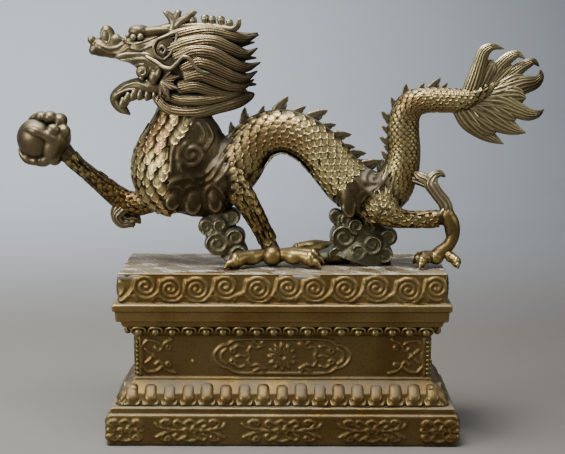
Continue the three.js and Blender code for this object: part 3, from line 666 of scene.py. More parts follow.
mane_metal = aged_brass("mane_brass", "#130d07", "#665038", "#7b6c4c", "#cfc193", "#7d7767",
                        dusty=0.25, reach=7.0, tips=(-36, -17), shine=0.26, rub=0.8)
face_metal = aged_brass("face_brass", "#171009", "#665640", "#786d50", "#c3b893", "#8b867a",
                        dusty=0.45, reach=6.0, shine=0.28, rub=0.55)
fan_metal = aged_brass("tail_fan_brass", "#150f07", "#68573a", "#7e714d", "#cdbf94", "#827c6b",
                       dusty=0.25, reach=6.0, tips=(148, 170))
foot_metal = aged_brass("foot_brass", "#150e07", "#5f4828", "#765f36", "#c6b377", "#7c7462",
                        dusty=0.2, reach=7.0, shine=0.28, rub=0.8)
chest_cloud_metal = aged_brass("chest_cloud_brass", "#1b1810", "#655e45", "#7a7358", "#b5b094",
                               "#8a8a80",
                               dusty=0.7, reach=6.0, steepness=0.1)
cloud_metal = aged_brass("haunch_cloud_brass", "#16140e", "#48442f", "#5b5740", "#9a9678", "#73746a",
                         dusty=0.6, reach=6.0, steepness=0.1)
print("metals:", [m.name for m in bpy.data.materials if "brass" in m.name or "top" in m.name])

# %% [markdown]
# ## The plinth
# The plinth is a stack of courses. Real ones are cast from a carved wooden pattern, so every edge
# is a little soft and nothing is quite straight. Each course is a ring-by-ring loft of its profile,
# fine enough that the relief tree can raise scrolls and borders from the drawn lines.

# %% Sizes of the courses
DADO_WIDTH, DADO_DEPTH = 189, 61
BASE_TOP, PLATE_TOP, LOTUS_TOP, DADO_FOOT, DADO_TOP = 20, 24.5, 39, 41, 68
BEADS_TOP, STEP_TOP, BAND_TOP, LEDGE_TOP = 75, 79, 85.5, 90.5
BASE_OUT, PLATE_OUT, LOTUS_OUT, FILLET_OUT, BEADS_OUT = 16.7, 15.2, 13.5, 1.2, 3.2
STEP_OUT, BAND_OUT, LEDGE_OUT, SLAB_OUT = 8.5, 11, 12.9, 10
PETAL_PITCH, BEAD_PITCH = 12.7, 11
MEDALLION_MIDDLE = 10.2
# How far apart a course's points are, how far its corners are rounded, and how uneven a row is.
COURSE_STEP, CORNER_SOFT, ROW_UNEVENNESS = 0.8, 0.7, 0.04


def wobble(points, size, amount, seed):
    """A slow uneven swell of up to `amount`, with waves about `size` long."""
    rng = np.random.default_rng(seed)
    total = np.zeros(len(points))
    for _ in range(7):
        direction = rng.normal(size=3)
        direction *= 2 * math.pi / size / np.linalg.norm(direction)
        total += np.sin(points @ direction + rng.uniform(0, 2 * math.pi))
    return amount * total / 7 ** 0.5


def course(name, profile, seed):
    """A rectangular moulding from (projection, height) points, with soft corners."""
    dense = [profile[0]]
    for (p0, z0), (p1, z1) in zip(profile, profile[1:]):
        parts = max(1, round(math.hypot(p1 - p0, z1 - z0) / COURSE_STEP))
        for i in range(1, parts + 1):
            dense.append((p0 + (p1 - p0) * i / parts, z0 + (z1 - z0) * i / parts))
    across, deep = round(DADO_WIDTH / COURSE_STEP), round(DADO_DEPTH / COURSE_STEP)
    rings = []
    for out, z in dense:
        wide, high = DADO_WIDTH / 2 + out, DADO_DEPTH / 2 + out
        front = np.linspace(-wide, wide, across, endpoint=False)
        side = np.linspace(-high, high, deep, endpoint=False)
        ring = np.vstack([
            np.stack([front, np.full(across, -high)], axis=1),
            np.stack([np.full(deep, wide), side], axis=1),
            np.stack([-front, np.full(across, high)], axis=1),
            np.stack([np.full(deep, -wide), -side], axis=1),
        ])
        from_corner = wide - np.abs(ring[:, 0]) + high - np.abs(ring[:, 1])
        near_corner = np.clip(1 - from_corner / CORNER_SOFT, 0, 1)
        ring -= np.sign(ring) * (0.35 * CORNER_SOFT * near_corner)[:, None]
        rings.append(np.column_stack([ring, np.full(len(ring), z)]))
    points, faces = skin(rings)
    inward = np.column_stack([
        np.sign(points[:, 0]) * (np.abs(points[:, 0]) > DADO_WIDTH / 2 - 2),
        np.sign(points[:, 1]) * (np.abs(points[:, 1]) > DADO_DEPTH / 2 - 2),
        np.zeros(len(points)),
    ])
    inset = 0.25 + wobble(points, 45, 0.12, seed) + wobble(points, 9, 0.05, seed + 1)
    points = points - inward * np.clip(inset, 0.02, 1)[:, None]
    return piece_from(name, [(points, faces)])


def four_faces(out):
    """Each face's (turn about Z, half its width, its distance from the middle)."""
    wide, deep = DADO_WIDTH / 2 + out, DADO_DEPTH / 2 + out
    return [(0, wide, deep), (90, deep, wide), (180, wide, deep), (270, deep, wide)]


def turned(points, degrees):
    """Points turned about the plinth's upright axis."""
    c, s = math.cos(math.radians(degrees)), math.sin(math.radians(degrees))
    return np.array(points, float) @ np.array([[c, s, 0], [-s, c, 0], [0, 0, 1]])


def on_face(line, face):
    """A line of (along, height) points laid on one face of a course."""
    turn, _, reach = face
    return turned([(x, -reach, z) for x, z in line], turn)


# %% Lines of the scrolls, the cartouche and the base's medallions
def spiral(x, z, radius, turns=2.1, start=-70, clockwise=True, squash=1.0, eye=0.08, steps=44):
    """A scroll from its outer end in to the eye."""
    line = []
    for i in range(steps + 1):
        share = i / steps
        angle = math.radians(start) - (1 if clockwise else -1) * 2 * math.pi * turns * share
        reach = radius * ((1 - share) ** 0.9 + eye * share)
        line.append((x + reach * math.cos(angle), z + squash * reach * math.sin(angle)))
    return line


def arc(x, z, radius, first, last, squash=1.0, steps=12):
    angles = np.radians(np.linspace(first, last, steps))
    return [(x + radius * math.cos(a), z + squash * radius * math.sin(a)) for a in angles]


def curve(points, steps=24):
    """A smooth line through a few (along, height) points."""
    rows = smooth_rows([(x, 0, z) for x, z in points], steps)
    return [(row[0], row[2]) for row in rows]


def flipped(line):
    return [(-x, z) for x, z in line]


SLAB_MIDDLE = (LEDGE_TOP + PLINTH_TOP) / 2
# Each scroll on the slab's front is its place along the face, its height, its radius and its turns.
FRONT_SCROLLS = [
    (-105, 99.5, 8.2, 1.7), (-86, 101.6, 7.9, 2.0), (-70, 100.0, 8.3, 2.3), (-53.5, 99.9, 8.6, 2.4),
    (-35.5, 101.4, 8.0, 2.1), (-14.8, 99.9, 9.0, 2.6), (3.8, 101.2, 8.0, 2.2), (20.6, 100.2, 8.4, 2.4),
    (40, 100.2, 8.9, 2.5), (59.4, 100.8, 8.9, 2.6), (79.5, 99.4, 8.9, 2.6), (97, 100.9, 8.0, 2.2),
]


def scroll_lines(scrolls):
    """Spirals joined by a wave from each one's foot to the next one's shoulder, over a small arch."""
    lines = []
    for i, (x, z, radius, turns) in enumerate(scrolls):
        lines.append(spiral(x, z, radius, turns, start=-75, squash=0.98))
        if i + 1 < len(scrolls):
            x2, z2, radius2, _ = scrolls[i + 1]
            lines.append(curve([
                (x + 0.26 * radius, z - 0.95 * radius),
                (x + 0.72 * radius, z - 0.72 * radius),
                (x2 - 0.98 * radius2, z2 - 0.2 * radius2),
                (x2 - 0.8 * radius2, z2 + 0.62 * radius2),
            ], 14))
            lines.append(arc(0.5 * (x + x2), LEDGE_TOP + 1.2, 0.24 * (x2 - x), 20, 160, 0.9, 8))
    return lines


def even_scrolls(half_width):
    """Scrolls for a plainer face, at an even pitch."""
    count = max(2, round(2 * half_width / 18.5))
    pitch = 2 * half_width / count
    return [
        (-half_width + pitch * (i + 0.5), SLAB_MIDDLE + 0.8 * (-1) ** i, 0.43 * pitch, 2.1)
        for i in range(count)
    ]


def cartouche_lines():
    """The framed panel: a lobed border, a rosette with twelve petals and curls beside it."""
    z0 = (DADO_FOOT + DADO_TOP) / 2
    half = [
        (0, z0 + 11.2), (24, z0 + 11.2), (31, z0 + 10.2), (34.5, z0 + 7.8), (37.5, z0 + 7.2),
        (41.5, z0 + 4.4), (43.6, z0), (41.5, z0 - 4.4), (37.5, z0 - 7.2), (34.5, z0 - 7.8),
        (31, z0 - 10.2), (24, z0 - 11.2), (0, z0 - 11.2),
    ]
    border = curve(half, 60)
    lines = [border, flipped(border)]
    for petal in range(12):
        a = 2 * math.pi * petal / 12
        tip = (8.6 * math.cos(a), z0 + 8.6 * math.sin(a))
        sides = [(5.2 * math.cos(a + s * 0.2), z0 + 5.2 * math.sin(a + s * 0.2)) for s in (-1, 1)]
        root = (3.0 * math.cos(a), z0 + 3.0 * math.sin(a))
        lines.append([root, sides[0], tip, sides[1], root])
    lines.append(arc(0, z0, 2.2, 0, 360, steps=14))
    for sign in (1, -1):
        side = [
            curve([(11, z0 + 8), (16, z0 + 5.4), (20, z0 + 6.4), (22, z0 + 3)], 14),
            curve([(11, z0 - 8), (16, z0 - 5.4), (20, z0 - 6.4), (22, z0 - 3)], 14),
            curve([(22, z0 + 3), (20.8, z0), (22, z0 - 3)], 8),
            curve([(24, z0 + 6.2), (28, z0 + 7.2), (31, z0 + 5)], 8),
            curve([(24, z0 - 6.2), (28, z0 - 7.2), (31, z0 - 5)], 8),
            arc(31.5, z0 + 3.6, 1.5, 0, 360, steps=9),
            arc(31.5, z0 - 3.6, 1.5, 0, 360, steps=9),
            curve([(35.4, z0 + 5), (38.5, z0 + 2.4), (38.8, z0 - 2.4), (35.4, z0 - 5)], 12),
            curve([(12, z0 + 10), (14, z0 + 8), (18, z0 + 9.6)], 6),
            curve([(12, z0 - 10), (14, z0 - 8), (18, z0 - 9.6)], 6),
            curve([(23, z0), (27, z0 + 0.6), (29, z0 - 0.4)], 6),
        ]
        lines += side if sign == 1 else [flipped(line) for line in side]
    return lines


def corner_lines(edge, half_width, along=1.0):
    """Scrolls in a corner of the dado, set out from the face's edge towards the middle."""
    z0 = (DADO_FOOT + DADO_TOP) / 2
    inner = edge * half_width
    side = [
        curve([(8, z0 + 10.5), (4.4, z0 + 6), (5, z0), (4.4, z0 - 6), (8, z0 - 10.5)], 24),
        curve([(8, z0 + 10.5), (14, z0 + 9.6), (17.5, z0 + 6), (15.5, z0 + 3.4), (13, z0 + 5.6)], 20),
        curve([(8, z0 - 10.5), (14, z0 - 9.6), (17.5, z0 - 6), (15.5, z0 - 3.4), (13, z0 - 5.6)], 20),
        curve([(6.5, z0 + 4.5), (9.5, z0 + 2.2), (13, z0 - 1.2)], 8),
        curve([(6.5, z0 - 4.5), (9.5, z0 - 2.2), (12, z0 + 1.2)], 8),
        curve([(17.5, z0 + 6), (20, z0 + 9), (24 * along, z0 + 11)], 10),
        curve([(17.5, z0 - 6), (20, z0 - 9), (26 * along, z0 - 11)], 10),
        arc(21.5, z0 + 5.6, 1.3, 0, 360, steps=8),
        arc(21.5, z0 - 5.6, 1.3, 0, 360, steps=8),
    ]
    return [[(inner - edge * x, z) for x, z in line] for line in side]


def medallion_lines(x, wide):
    """A knot of curling stems on the base, mirrored about its own middle."""
    z0 = MEDALLION_MIDDLE
    half = [
        curve([(0, z0 + 6.8), (3.5, z0 + 4.6), (1.6, z0 + 1.6), (4.6, z0 + 0.4), (2.2, z0 - 2.6),
               (4.4, z0 - 5.6), (0, z0 - 7)], 26),
        curve([(4.4, z0 + 4.4), (8.6, z0 + 6.4), (10.4, z0 + 3.6), (8, z0 + 2.2)], 14),
        curve([(4.4, z0 - 4.4), (8.6, z0 - 6.4), (10.4, z0 - 3.6), (8, z0 - 2.2)], 14),
        curve([(6, z0), (11, z0 + 0.4), (0.46 * wide, z0 + 2.4), (0.5 * wide, z0 + 4.6)], 12),
        curve([(11, z0 + 0.2), (0.4 * wide, z0 - 2.2), (0.49 * wide, z0 - 4.4)], 12),
        arc(0.32 * wide, z0 + 5.2, 1.4, -40, 260, steps=10),
        arc(0.32 * wide, z0 - 5.2, 1.4, 100, 400, steps=10),
        curve([(0.36 * wide, z0 + 1.2), (0.42 * wide, z0 + 5), (0.36 * wide, z0 + 6.8)], 8),
        curve([(0.36 * wide, z0 - 1.2), (0.42 * wide, z0 - 5), (0.36 * wide, z0 - 6.8)], 8),
        arc(1.6, z0, 1.2, 0, 360, steps=8),
    ]
    return [[(x + s * a, z) for a, z in line] for line in half for s in (1, -1)]


# %% Base, waist and slab
def build_base():
    base = course("plinth_base", [
        (BASE_OUT - 6, 0.1), (BASE_OUT - 0.4, 0.1), (BASE_OUT, 0.7), (BASE_OUT, BASE_TOP - 1),
        (BASE_OUT - 0.5, BASE_TOP), (BASE_OUT - 1.3, BASE_TOP + 0.4), (PLATE_OUT, BASE_TOP + 1),
        (PLATE_OUT - 0.3, PLATE_TOP - 0.4), (PLATE_OUT - 1.4, PLATE_TOP), (8, PLATE_TOP + 0.2),
    ], seed=3)
    lines = []
    for face in four_faces(BASE_OUT - 0.2):
        half = face[1]
        if half > 60:
            spots = [(-58, 44), (0, 50), (57, 42)] if face[0] == 0 else [(-57, 42), (0, 46), (57, 42)]
            for x, wide in spots:
                lines += [on_face(line, face) for line in medallion_lines(x, wide)]
            for edge in (-1, 1):
                lines += [on_face(line, face) for line in medallion_lines(edge * (half - 12), 20)]
        else:
            lines += [on_face(line, face) for line in medallion_lines(0, 34)]
            for edge in (-1, 1):
                lines += [on_face(line, face) for line in medallion_lines(edge * (half - 11), 18)]
    raise_lines(base, lines, 1.25, 1.4, plinth_metal, grain=0.3, grain_size=2.2)
    return base


def build_waist():
    waist = course("plinth_waist", [
        (8, PLATE_TOP - 0.5), (LOTUS_OUT - 3.0, PLATE_TOP), (LOTUS_OUT - 3.4, PLATE_TOP + 3),
        (LOTUS_OUT - 5.2, PLATE_TOP + 7.5), (LOTUS_OUT - 8.4, LOTUS_TOP - 3.4),
        (FILLET_OUT + 1, LOTUS_TOP - 0.4), (FILLET_OUT + 0.4, LOTUS_TOP), (FILLET_OUT, DADO_FOOT - 0.5),
        (0.3, DADO_FOOT), (0, DADO_FOOT + 0.6), (0, DADO_TOP - 0.4), (0.5, DADO_TOP),
        (-6, DADO_TOP + 0.3),
    ], seed=5)
    lines = []
    for face in four_faces(-0.2):
        half = face[1]
        flat = []
        if half > 60:
            flat += cartouche_lines() if face[0] == 0 else cartouche_lines()[:2]
            flat += corner_lines(-1, half) + corner_lines(1, half)
            flat.append(arc(-57, 51, 0.35, 0, 360, steps=7))
        else:
            flat += corner_lines(-1, half, 0.85) + corner_lines(1, half, 0.85)
        for edge in (-1, 1):
            flat.append([(edge * (half - 3.4), DADO_FOOT + 1.5), (edge * (half - 3.4), DADO_TOP - 1.5)])
        lines += [on_face(line, face) for line in flat]
    raise_lines(waist, lines, 1.25, 1.4, plinth_metal, grain=0.25, grain_size=2.5)
    return waist


def build_cornice():
    cornice = course("plinth_cornice", [
        (-6, DADO_TOP - 0.3), (0.6, DADO_TOP), (1.6, DADO_TOP + 1.2), (BEADS_OUT, DADO_TOP + 4),
        (BEADS_OUT + 1.8, BEADS_TOP - 0.4), (STEP_OUT - 1.6, BEADS_TOP),
        (STEP_OUT - 1.2, BEADS_TOP + 0.6),
        (STEP_OUT - 0.3, STEP_TOP - 0.8), (STEP_OUT, STEP_TOP - 0.2), (BAND_OUT - 0.5, STEP_TOP),
        (BAND_OUT, STEP_TOP + 0.7), (BAND_OUT + 0.2, BAND_TOP - 0.6), (BAND_OUT + 0.6, BAND_TOP),
        (LEDGE_OUT - 0.4, BAND_TOP + 0.3), (LEDGE_OUT, BAND_TOP + 1), (LEDGE_OUT, LEDGE_TOP - 1),
        (LEDGE_OUT - 0.6, LEDGE_TOP - 0.2), (SLAB_OUT - 0.4, LEDGE_TOP + 0.2),
        (SLAB_OUT - 0.8, LEDGE_TOP + 0.8),
        (SLAB_OUT - 0.8, PLINTH_TOP - 1.2), (SLAB_OUT - 0.5, PLINTH_TOP - 0.9),
        (SLAB_OUT - 0.5, PLINTH_TOP - 0.5),
        (SLAB_OUT - 1, PLINTH_TOP - 0.35),
        (SLAB_OUT - 4, PLINTH_TOP - 0.35),
    ], seed=9)
    lines = []
    for face in four_faces(SLAB_OUT - 1.0):
        flat = scroll_lines(FRONT_SCROLLS) if face[0] == 0 else scroll_lines(even_scrolls(face[1]))
        lines += [on_face([p for p in line if abs(p[0]) < face[1] - 0.8], face) for line in flat]
    lines = [line for line in lines if len(line) > 1]
    raise_lines(cornice, lines, 1.7, 1.5, cornice_sheen_metal, grain=0.25, grain_size=2.5)
    return cornice


def build_slab_top():
    """The rough, dusty ground that the dragon stands on."""
    half_x, half_y = DADO_WIDTH / 2 + SLAB_OUT - 1.1, DADO_DEPTH / 2 + SLAB_OUT - 1.1
    xs = np.linspace(-half_x, half_x, 190)
    ys = np.linspace(-half_y, half_y, 74)
    grid = np.array([[x, y, PLINTH_TOP - 0.45] for y in ys for x in xs])
    rise = wobble(grid, 14, 0.13, 21) + wobble(grid, 3.2, 0.11, 22) + wobble(grid, 1.5, 0.09, 23)
    edge = np.minimum(half_x - np.abs(grid[:, 0]), half_y - np.abs(grid[:, 1]))
    rise += 0.12 * np.exp(-edge / 1.2) + np.exp(-edge / 1.0) * wobble(grid, 4, 0.14, 24)
    grid[:, 2] = np.minimum(grid[:, 2] + rise, PLINTH_TOP - 0.02)
    faces, rim = grid_faces(len(xs), len(ys))
    below = grid[rim].copy()
    below[:, 2] = PLINTH_TOP - 4
    points = np.vstack([grid, below])
    start = len(grid)
    for k in range(len(rim)):
        n = (k + 1) % len(rim)
        faces.append((rim[k], start + k, start + n, rim[n]))
    faces.append(tuple(start + k for k in reversed(range(len(rim)))))
    top = piece_from("slab_top", [(points, faces)])
    top.data.materials.append(top_metal)
    return top


base = build_base()
waist = build_waist()
cornice = build_cornice()
slab_top = build_slab_top()
for thing in (base, waist, cornice, slab_top):
    report(thing)

# %% [markdown]
# ## Petals and beads
# The lotus course is a row of swelling tablets, each inside its own raised rim, and the course
# above the waist is a row of beads under small arches. One petal and one bead are modelled, and
# the row tree repeats them along each face at a steady pitch, each a little different in size.


# %% One petal, one bead
def petal_shell(width, height, swell):
    """A tablet with a round foot and a raised rim, standing on the X-Z plane and swelling to -Y."""
    parts = 15
    points = []
    for j in range(parts + 1):
        v = j / parts
        foot = min(1.0, (v / 0.34)) ** 0.5 if v < 0.34 else 1.0
        half = 0.5 * width * (0.72 + 0.28 * foot) if v < 0.34 else 0.5 * width
        for i in range(parts + 1):
            u = 2 * i / parts - 1
            inner = max(abs(u) / 0.8, abs(v - 0.56) / 0.42)
            boss = max(0.0, 1 - (abs(u) / 0.78) ** 3 - (abs(v - 0.53) / 0.43) ** 3.4) ** 0.5
            rim = math.exp(-((abs(u) - 0.9) / 0.08) ** 2)
            rim = max(rim, 0.6 * math.exp(-((v - 0.05) / 0.05) ** 2)) * (0.55 if inner > 0.9 else 0.2)
            depth = swell * (0.12 + 0.88 * boss + 0.7 * rim) * min(1, 3 * (1 - abs(u)) + 0.25)
            points.append((u * half, -depth, v * height))
    faces, edge = grid_faces(parts + 1, parts + 1)
    return with_back(points, faces, edge, [(points[i][0], 2.5, points[i][2]) for i in edge])


def leaned(shell, degrees, lift):
    """The petal tilted back about its foot, so that it lies on the sloping course."""
    points, faces = shell
    c, s = math.cos(math.radians(degrees)), math.sin(math.radians(degrees))
    y = points[:, 1] * c + points[:, 2] * s
    z = -points[:, 1] * s + points[:, 2] * c
    bend = 1.6 * (points[:, 2] / max(points[:, 2].max(), 1)) ** 2
    return np.column_stack([points[:, 0], y + bend, z + lift]), faces


def bead_shells():
    """A ball under a small arch, as wide as the pitch."""
    ball = lump((0, -1.4, 2.9), (2.8, 2.5, 2.6), around=14, up=9)
    arch = [(-4.4, -0.6, 2.6, 0.8), (-3.9, -2.0, 5.2, 0.9), (0, -3.0, 6.4, 0.9),
            (3.9, -2.0, 5.2, 0.9), (4.4, -0.6, 2.6, 0.8)]
    return [ball, sweep(arch, sides=7, rings=15)]


def ornament_rows(name, ornament, out, height, pitch, trim=0.0, seed=7):
    """Repeats an ornament along the four faces of a course."""
    rows = []
    for k, (turn, half, reach) in enumerate(four_faces(out)):
        spacing = 2 * (half - trim) / round(2 * half / pitch)
        last = half - trim - spacing / 2
        line = turned([(-last, -reach, height), (last, -reach, height)], turn)
        row = line_object(f"{name}_{k}", [line])
        grow(row, row_tree, **{
            "Ornament": ornament, "Pitch": 0.999 * spacing * MM, "Unevenness": ROW_UNEVENNESS,
            "Seed": seed + k, "Metal": plinth_metal,
        })
        rows.append(made_plain(row))
    return joined(name, rows)


def joined(name, things):
    """One object from several, all of which lie at the origin."""
    with bpy.context.temp_override(
        active_object=things[0], object=things[0],
        selected_objects=things, selected_editable_objects=things,
    ):
        bpy.ops.object.join()
    things[0].name = name
    things[0].data.name = name
    return things[0]


# %% Rows round the plinth
def corner_petals():
    """A petal on each corner of the lotus course, facing out between its two rows."""
    points, faces = leaned(petal_shell(8.6, 15.2, 3.0), 40, PLATE_TOP + 0.2)
    shells = []
    for side_x, side_y in ((-1, -1), (1, -1), (1, 1), (-1, 1)):
        s, c = side_x / math.sqrt(2), -side_y / math.sqrt(2)
        reach = LOTUS_OUT - 4.2
        shells.append((np.column_stack([
            points[:, 0] * c - points[:, 1] * s + side_x * (0.5 * DADO_WIDTH + reach),
            points[:, 0] * s + points[:, 1] * c + side_y * (0.5 * DADO_DEPTH + reach),
            points[:, 2],
        ]), faces))
    return shells


def corner_beads():
    """Small beads up both sides of each upright edge of the waist."""
    shells = []
    for z in np.arange(DADO_FOOT + 2.4, DADO_TOP - 1.6, 2.9):
        for side_x in (-1, 1):
            for side_y in (-1, 1):
                x, y = side_x * 0.5 * DADO_WIDTH, side_y * 0.5 * DADO_DEPTH
                shells.append(lump((x - 1.7 * side_x, y, z), (1.2, 0.9, 1.2), around=8, up=5))
                shells.append(lump((x, y - 1.7 * side_y, z), (0.9, 1.2, 1.2), around=8, up=5))
    return shells


petal = piece_from("petal", [leaned(petal_shell(11.9, 15.6, 3.4), 37, 0)])
petals = ornament_rows("lotus_petals", petal, LOTUS_OUT - 2.2, PLATE_TOP + 0.2, PETAL_PITCH, trim=4)
bead = piece_from("bead", bead_shells())
beads = ornament_rows("bead_course", bead, BEADS_OUT, DADO_TOP + 0.2, BEAD_PITCH, trim=1.0, seed=31)
ends = [piece_from("corner_petals", corner_petals()), piece_from("corner_beads", corner_beads())]
for thing in ends:
    thing.data.materials.append(plinth_metal)
petals = joined("lotus_petals", [petals, ends[0]])
beads = joined("bead_course", [beads, ends[1]])
for pattern in (petal, bead):
    bpy.data.objects.remove(pattern)
for thing in (petals, beads):
    report(thing)

# %% [markdown]
# ## The dragon's body
# The founder's pattern was modelled in wax: thick rolls for the chest, the arched back and the
# tail, with the limbs pressed on and smoothed in. The same is done here. The rolls are swept along
# the CAD's own stations, melted into one skin by a voxel remesh, and smoothed at the joins.

# %% Rolls of the body
CHEST = [
    (-58, 0, 113, 12.5, 12), (-62.5, 0, 98, 18, 14), (-63.5, 0, 86, 25, 17), (-64.5, 0, 72, 31.5, 19.5),
    (-65, 0, 58, 32.5, 20.5), (-63, 0, 46, 27, 18), (-60, 0, 37, 16, 13),
]
ARCH = [
    (-70, 0, 47, 13.5, 14), (-50, 0, 48, 17.5, 18), (-32, 0, 62, 17.5, 17.5), (-21, 0, 77, 15.6, 14.5),
    (-12, 0, 84, 14.6, 13.5), (0, 0, 86.5, 14.2, 13), (13, 0, 82.5, 14.4, 13), (24, 0, 74, 14.8, 13.5),
    (34, 0, 62, 15.2, 14.5), (45, 0, 51, 16, 16.5), (60, 0, 45, 14.2, 16.5),
]
TAIL = [
    (52, 0, 42, 10.5, 12.5), (67, 0, 46, 13.6, 13.6), (76, 0, 59, 11.4, 11.4), (78.5, 0, 73, 10.2, 10),
    (77.5, 0, 87, 10.2, 9.4), (79, 0, 98, 9.5, 9), (84.5, 0, 104.5, 8.7, 8.5), (93, 0, 106.5, 7.9, 7.8),
    (105, 0, 106.5, 7.7, 7.5), (115, 0, 106.5, 7.2, 6.6), (124, 0, 109, 5.6, 4.6),
    (132, 0, 114, 3.7, 3.2),
    (139, 0, 118.5, 0.3, 0.3),
]
NEAR_ARM = [
    (-45, -9, 60, 12.5, 10), (-35, -14, 55, 10.6, 7.8), (-28, -15, 49, 8.2, 6.8),
    (-22, -13.5, 40, 6.7, 6.2),
    (-16.5, -12, 30, 5.8, 5.6), (-10.5, -10.5, 18, 5.2, 5.2), (-7, -9.5, 7, 6.2, 6.4),
    (-6.5, -9, 1.5, 5.6, 6),
]
FAR_ARM = [
    (-62, 10, 50, 10, 9), (-84, 15, 41, 8.2, 7.8), (-101, 17, 37, 7.6, 7.2), (-111, 17, 42.5, 6.6, 6.2),
    (-123, 16.5, 52.5, 5.3, 5), (-134, 16, 61.5, 4.6, 4.4), (-142, 16, 69, 5.8, 5.8),
    (-149, 16, 75, 8.6, 7.8),
]
NEAR_THIGH = [
    (56, -7, 44, 12.6, 11), (65, -12, 36.5, 10, 8.8), (74, -14.5, 32, 6.3, 6), (86, -15, 31, 5, 5),
    (97, -15.5, 31.5, 5.2, 5), (105.5, -16, 33.5, 4.2, 4.3),
]
NEAR_SHIN = [
    (101, -16, 37, 3.4), (107, -16, 31, 4.8), (109.5, -16, 23, 4), (107, -16, 15, 3.7),
    (101, -16, 9.5, 4.2), (96, -15, 6.5, 3.2),
]
FAR_THIGH = [
    (56, 7, 42, 11.5, 10.6), (51, 15, 30, 8.2, 8.2), (46, 18, 19, 5.8, 5.8), (38, 18.5, 10, 5.2, 5.2),
    (31, 18, 7, 4.2, 4.2),
]
# Lobes that lap over the shoulder and the haunch: x, z, half-width, half-height and lean.
SHOULDER_LOBES = [(-69.5, 44.6, 6.2, 8.8, 22), (-57, 43.4, 7.2, 10.4, 4), (-43.4, 44, 6.0, 9.4, -8)]
HAUNCH_LOBES = [(42, 43, 6.0, 12.8, -8), (55.4, 38, 6.4, 11.4, -14)]


def body_shells():
    shells = [sweep(CHEST, 32), sweep(ARCH, 30), sweep(TAIL, 24)]
    shells += [sweep(path, 20) for path in (NEAR_ARM, FAR_ARM, NEAR_THIGH, NEAR_SHIN, FAR_THIGH)]
    for rows, y in ((SHOULDER_LOBES, -15.0), (HAUNCH_LOBES, -13.0)):
        for x, z, wide, high, lean in rows:
            shells.append(lump((x, y, z), (wide, 5.2, high), lean))
            shells.append(lump((x, 0.86 * -y, z), (wide, 4.6, high), lean))
    shells.append(lump((-6.4, -10.2, 7), (6.4, 6.4, 6.6)))
    shells.append(lump((108.4, -16, 26), (4.8, 4.8, 9)))
    return shells


body = fused(piece_from("dragon_body", body_shells(), PLINTH_TOP), 1.3, 4)
report(body)


# %% [markdown]
# ## Lines carved on the shoulder and the haunch
# A long-tailed spiral marks the shoulder, and a raised rim runs round each lobe that laps over
# the leg. The lines are drawn flat, as seen from the near side, then dropped on to the skin.

# %% Dropping lines on a skin
RAY_START, RAY_REACH = 80, 140


def skin_of(thing):
    """A search tree over a piece's faces, in millimetres above the plinth."""
    mesh = thing.data
    points = np.zeros(3 * len(mesh.vertices))
    mesh.vertices.foreach_get("co", points)
    points = points.reshape(-1, 3) / MM - np.array([0, 0, PLINTH_TOP])
    return BVHTree.FromPolygons(points.tolist(), [tuple(p.vertices) for p in mesh.polygons])


def dropped(line, surface, side=-1, sink=0.0):
    """A flat (x, z) line laid on the near (-1) or far (1) side of a skin, split where it misses."""
    pieces, current = [], []
    for x, z in line:
        start = Vector((x, side * RAY_START, z))
        hit, _, _, _ = surface.ray_cast(start, Vector((0, -side, 0)), RAY_REACH)
        if hit is None:
            if len(current) > 1:
                pieces.append(current)
            current = []
        else:
            current.append((hit.x, hit.y - side * sink, hit.z))
    if len(current) > 1:
        pieces.append(current)
    return pieces


def ellipse(x, z, wide, high, lean, first=0, last=360, steps=26):
    c, s = math.cos(math.radians(lean)), math.sin(math.radians(lean))
    line = []
    for a in np.radians(np.linspace(first, last, steps)):
        u, v = wide * math.cos(a), high * math.sin(a)
        line.append((x + u * c + v * s, z - u * s + v * c))
    return line


def shoulder_lines():
    return [
        spiral(-57.5, 72.5, 8.2, 1.7, start=120, clockwise=False, steps=40),
        curve([(-61.6, 79.6), (-65, 71), (-63.5, 62), (-56, 58.5), (-47, 62), (-41, 70),
               (-37.5, 78)], 40),
        curve([(-66.5, 70), (-65, 82), (-59.5, 92), (-57.5, 97)], 26),
        curve([(-71, 62), (-69.5, 76), (-63.5, 88), (-62, 96)], 30),
        curve([(-49, 76), (-45, 84), (-48.5, 92)], 20),
        curve([(-52, 80), (-50.5, 86), (-53.5, 92)], 16),
        curve([(-77.5, 45), (-71, 54.5), (-61, 58.4), (-51.5, 54.6), (-45, 58), (-40.5, 66), (-33, 76),
               (-24, 88)], 60),
        curve([(-43, 55), (-37, 61), (-33, 69)], 24),
    ]


def haunch_lines():
    return [
        spiral(59, 57, 6.4, 1.3, start=200, clockwise=True, steps=30),
        curve([(35, 59), (40, 58.4), (46.5, 56), (52, 50), (58.4, 50.5), (66, 57), (70, 68)], 40),
        curve([(60, 33), (66, 40), (70, 50), (72.5, 62)], 30),
        curve([(64, 30), (71, 38), (75, 50)], 26),
    ]


def lobe_rims(rows):
    """Two rims of each lobe: one round it, and one round the lower side of its hollow."""
    lines = []
    for x, z, wide, high, lean in rows:
        lines.append(ellipse(x, z - 0.4, 1.06 * wide, 1.02 * high, lean, steps=40))
        lines.append(ellipse(x, z - 0.8, 0.62 * wide, 0.7 * high, lean, 200, 340))
    return lines


body_skin = skin_of(body)
carved = []
for line in shoulder_lines() + haunch_lines() + lobe_rims(SHOULDER_LOBES) + lobe_rims(HAUNCH_LOBES):
    carved += dropped(line, body_skin)
for line in shoulder_lines()[:4] + lobe_rims(SHOULDER_LOBES)[::2]:
    carved += dropped(line, body_skin, side=1)
raise_lines(body, carved, 2.2, 1.0, body_metal, grain=0.45, grain_size=1.6, lift=PLINTH_TOP)
report(body)


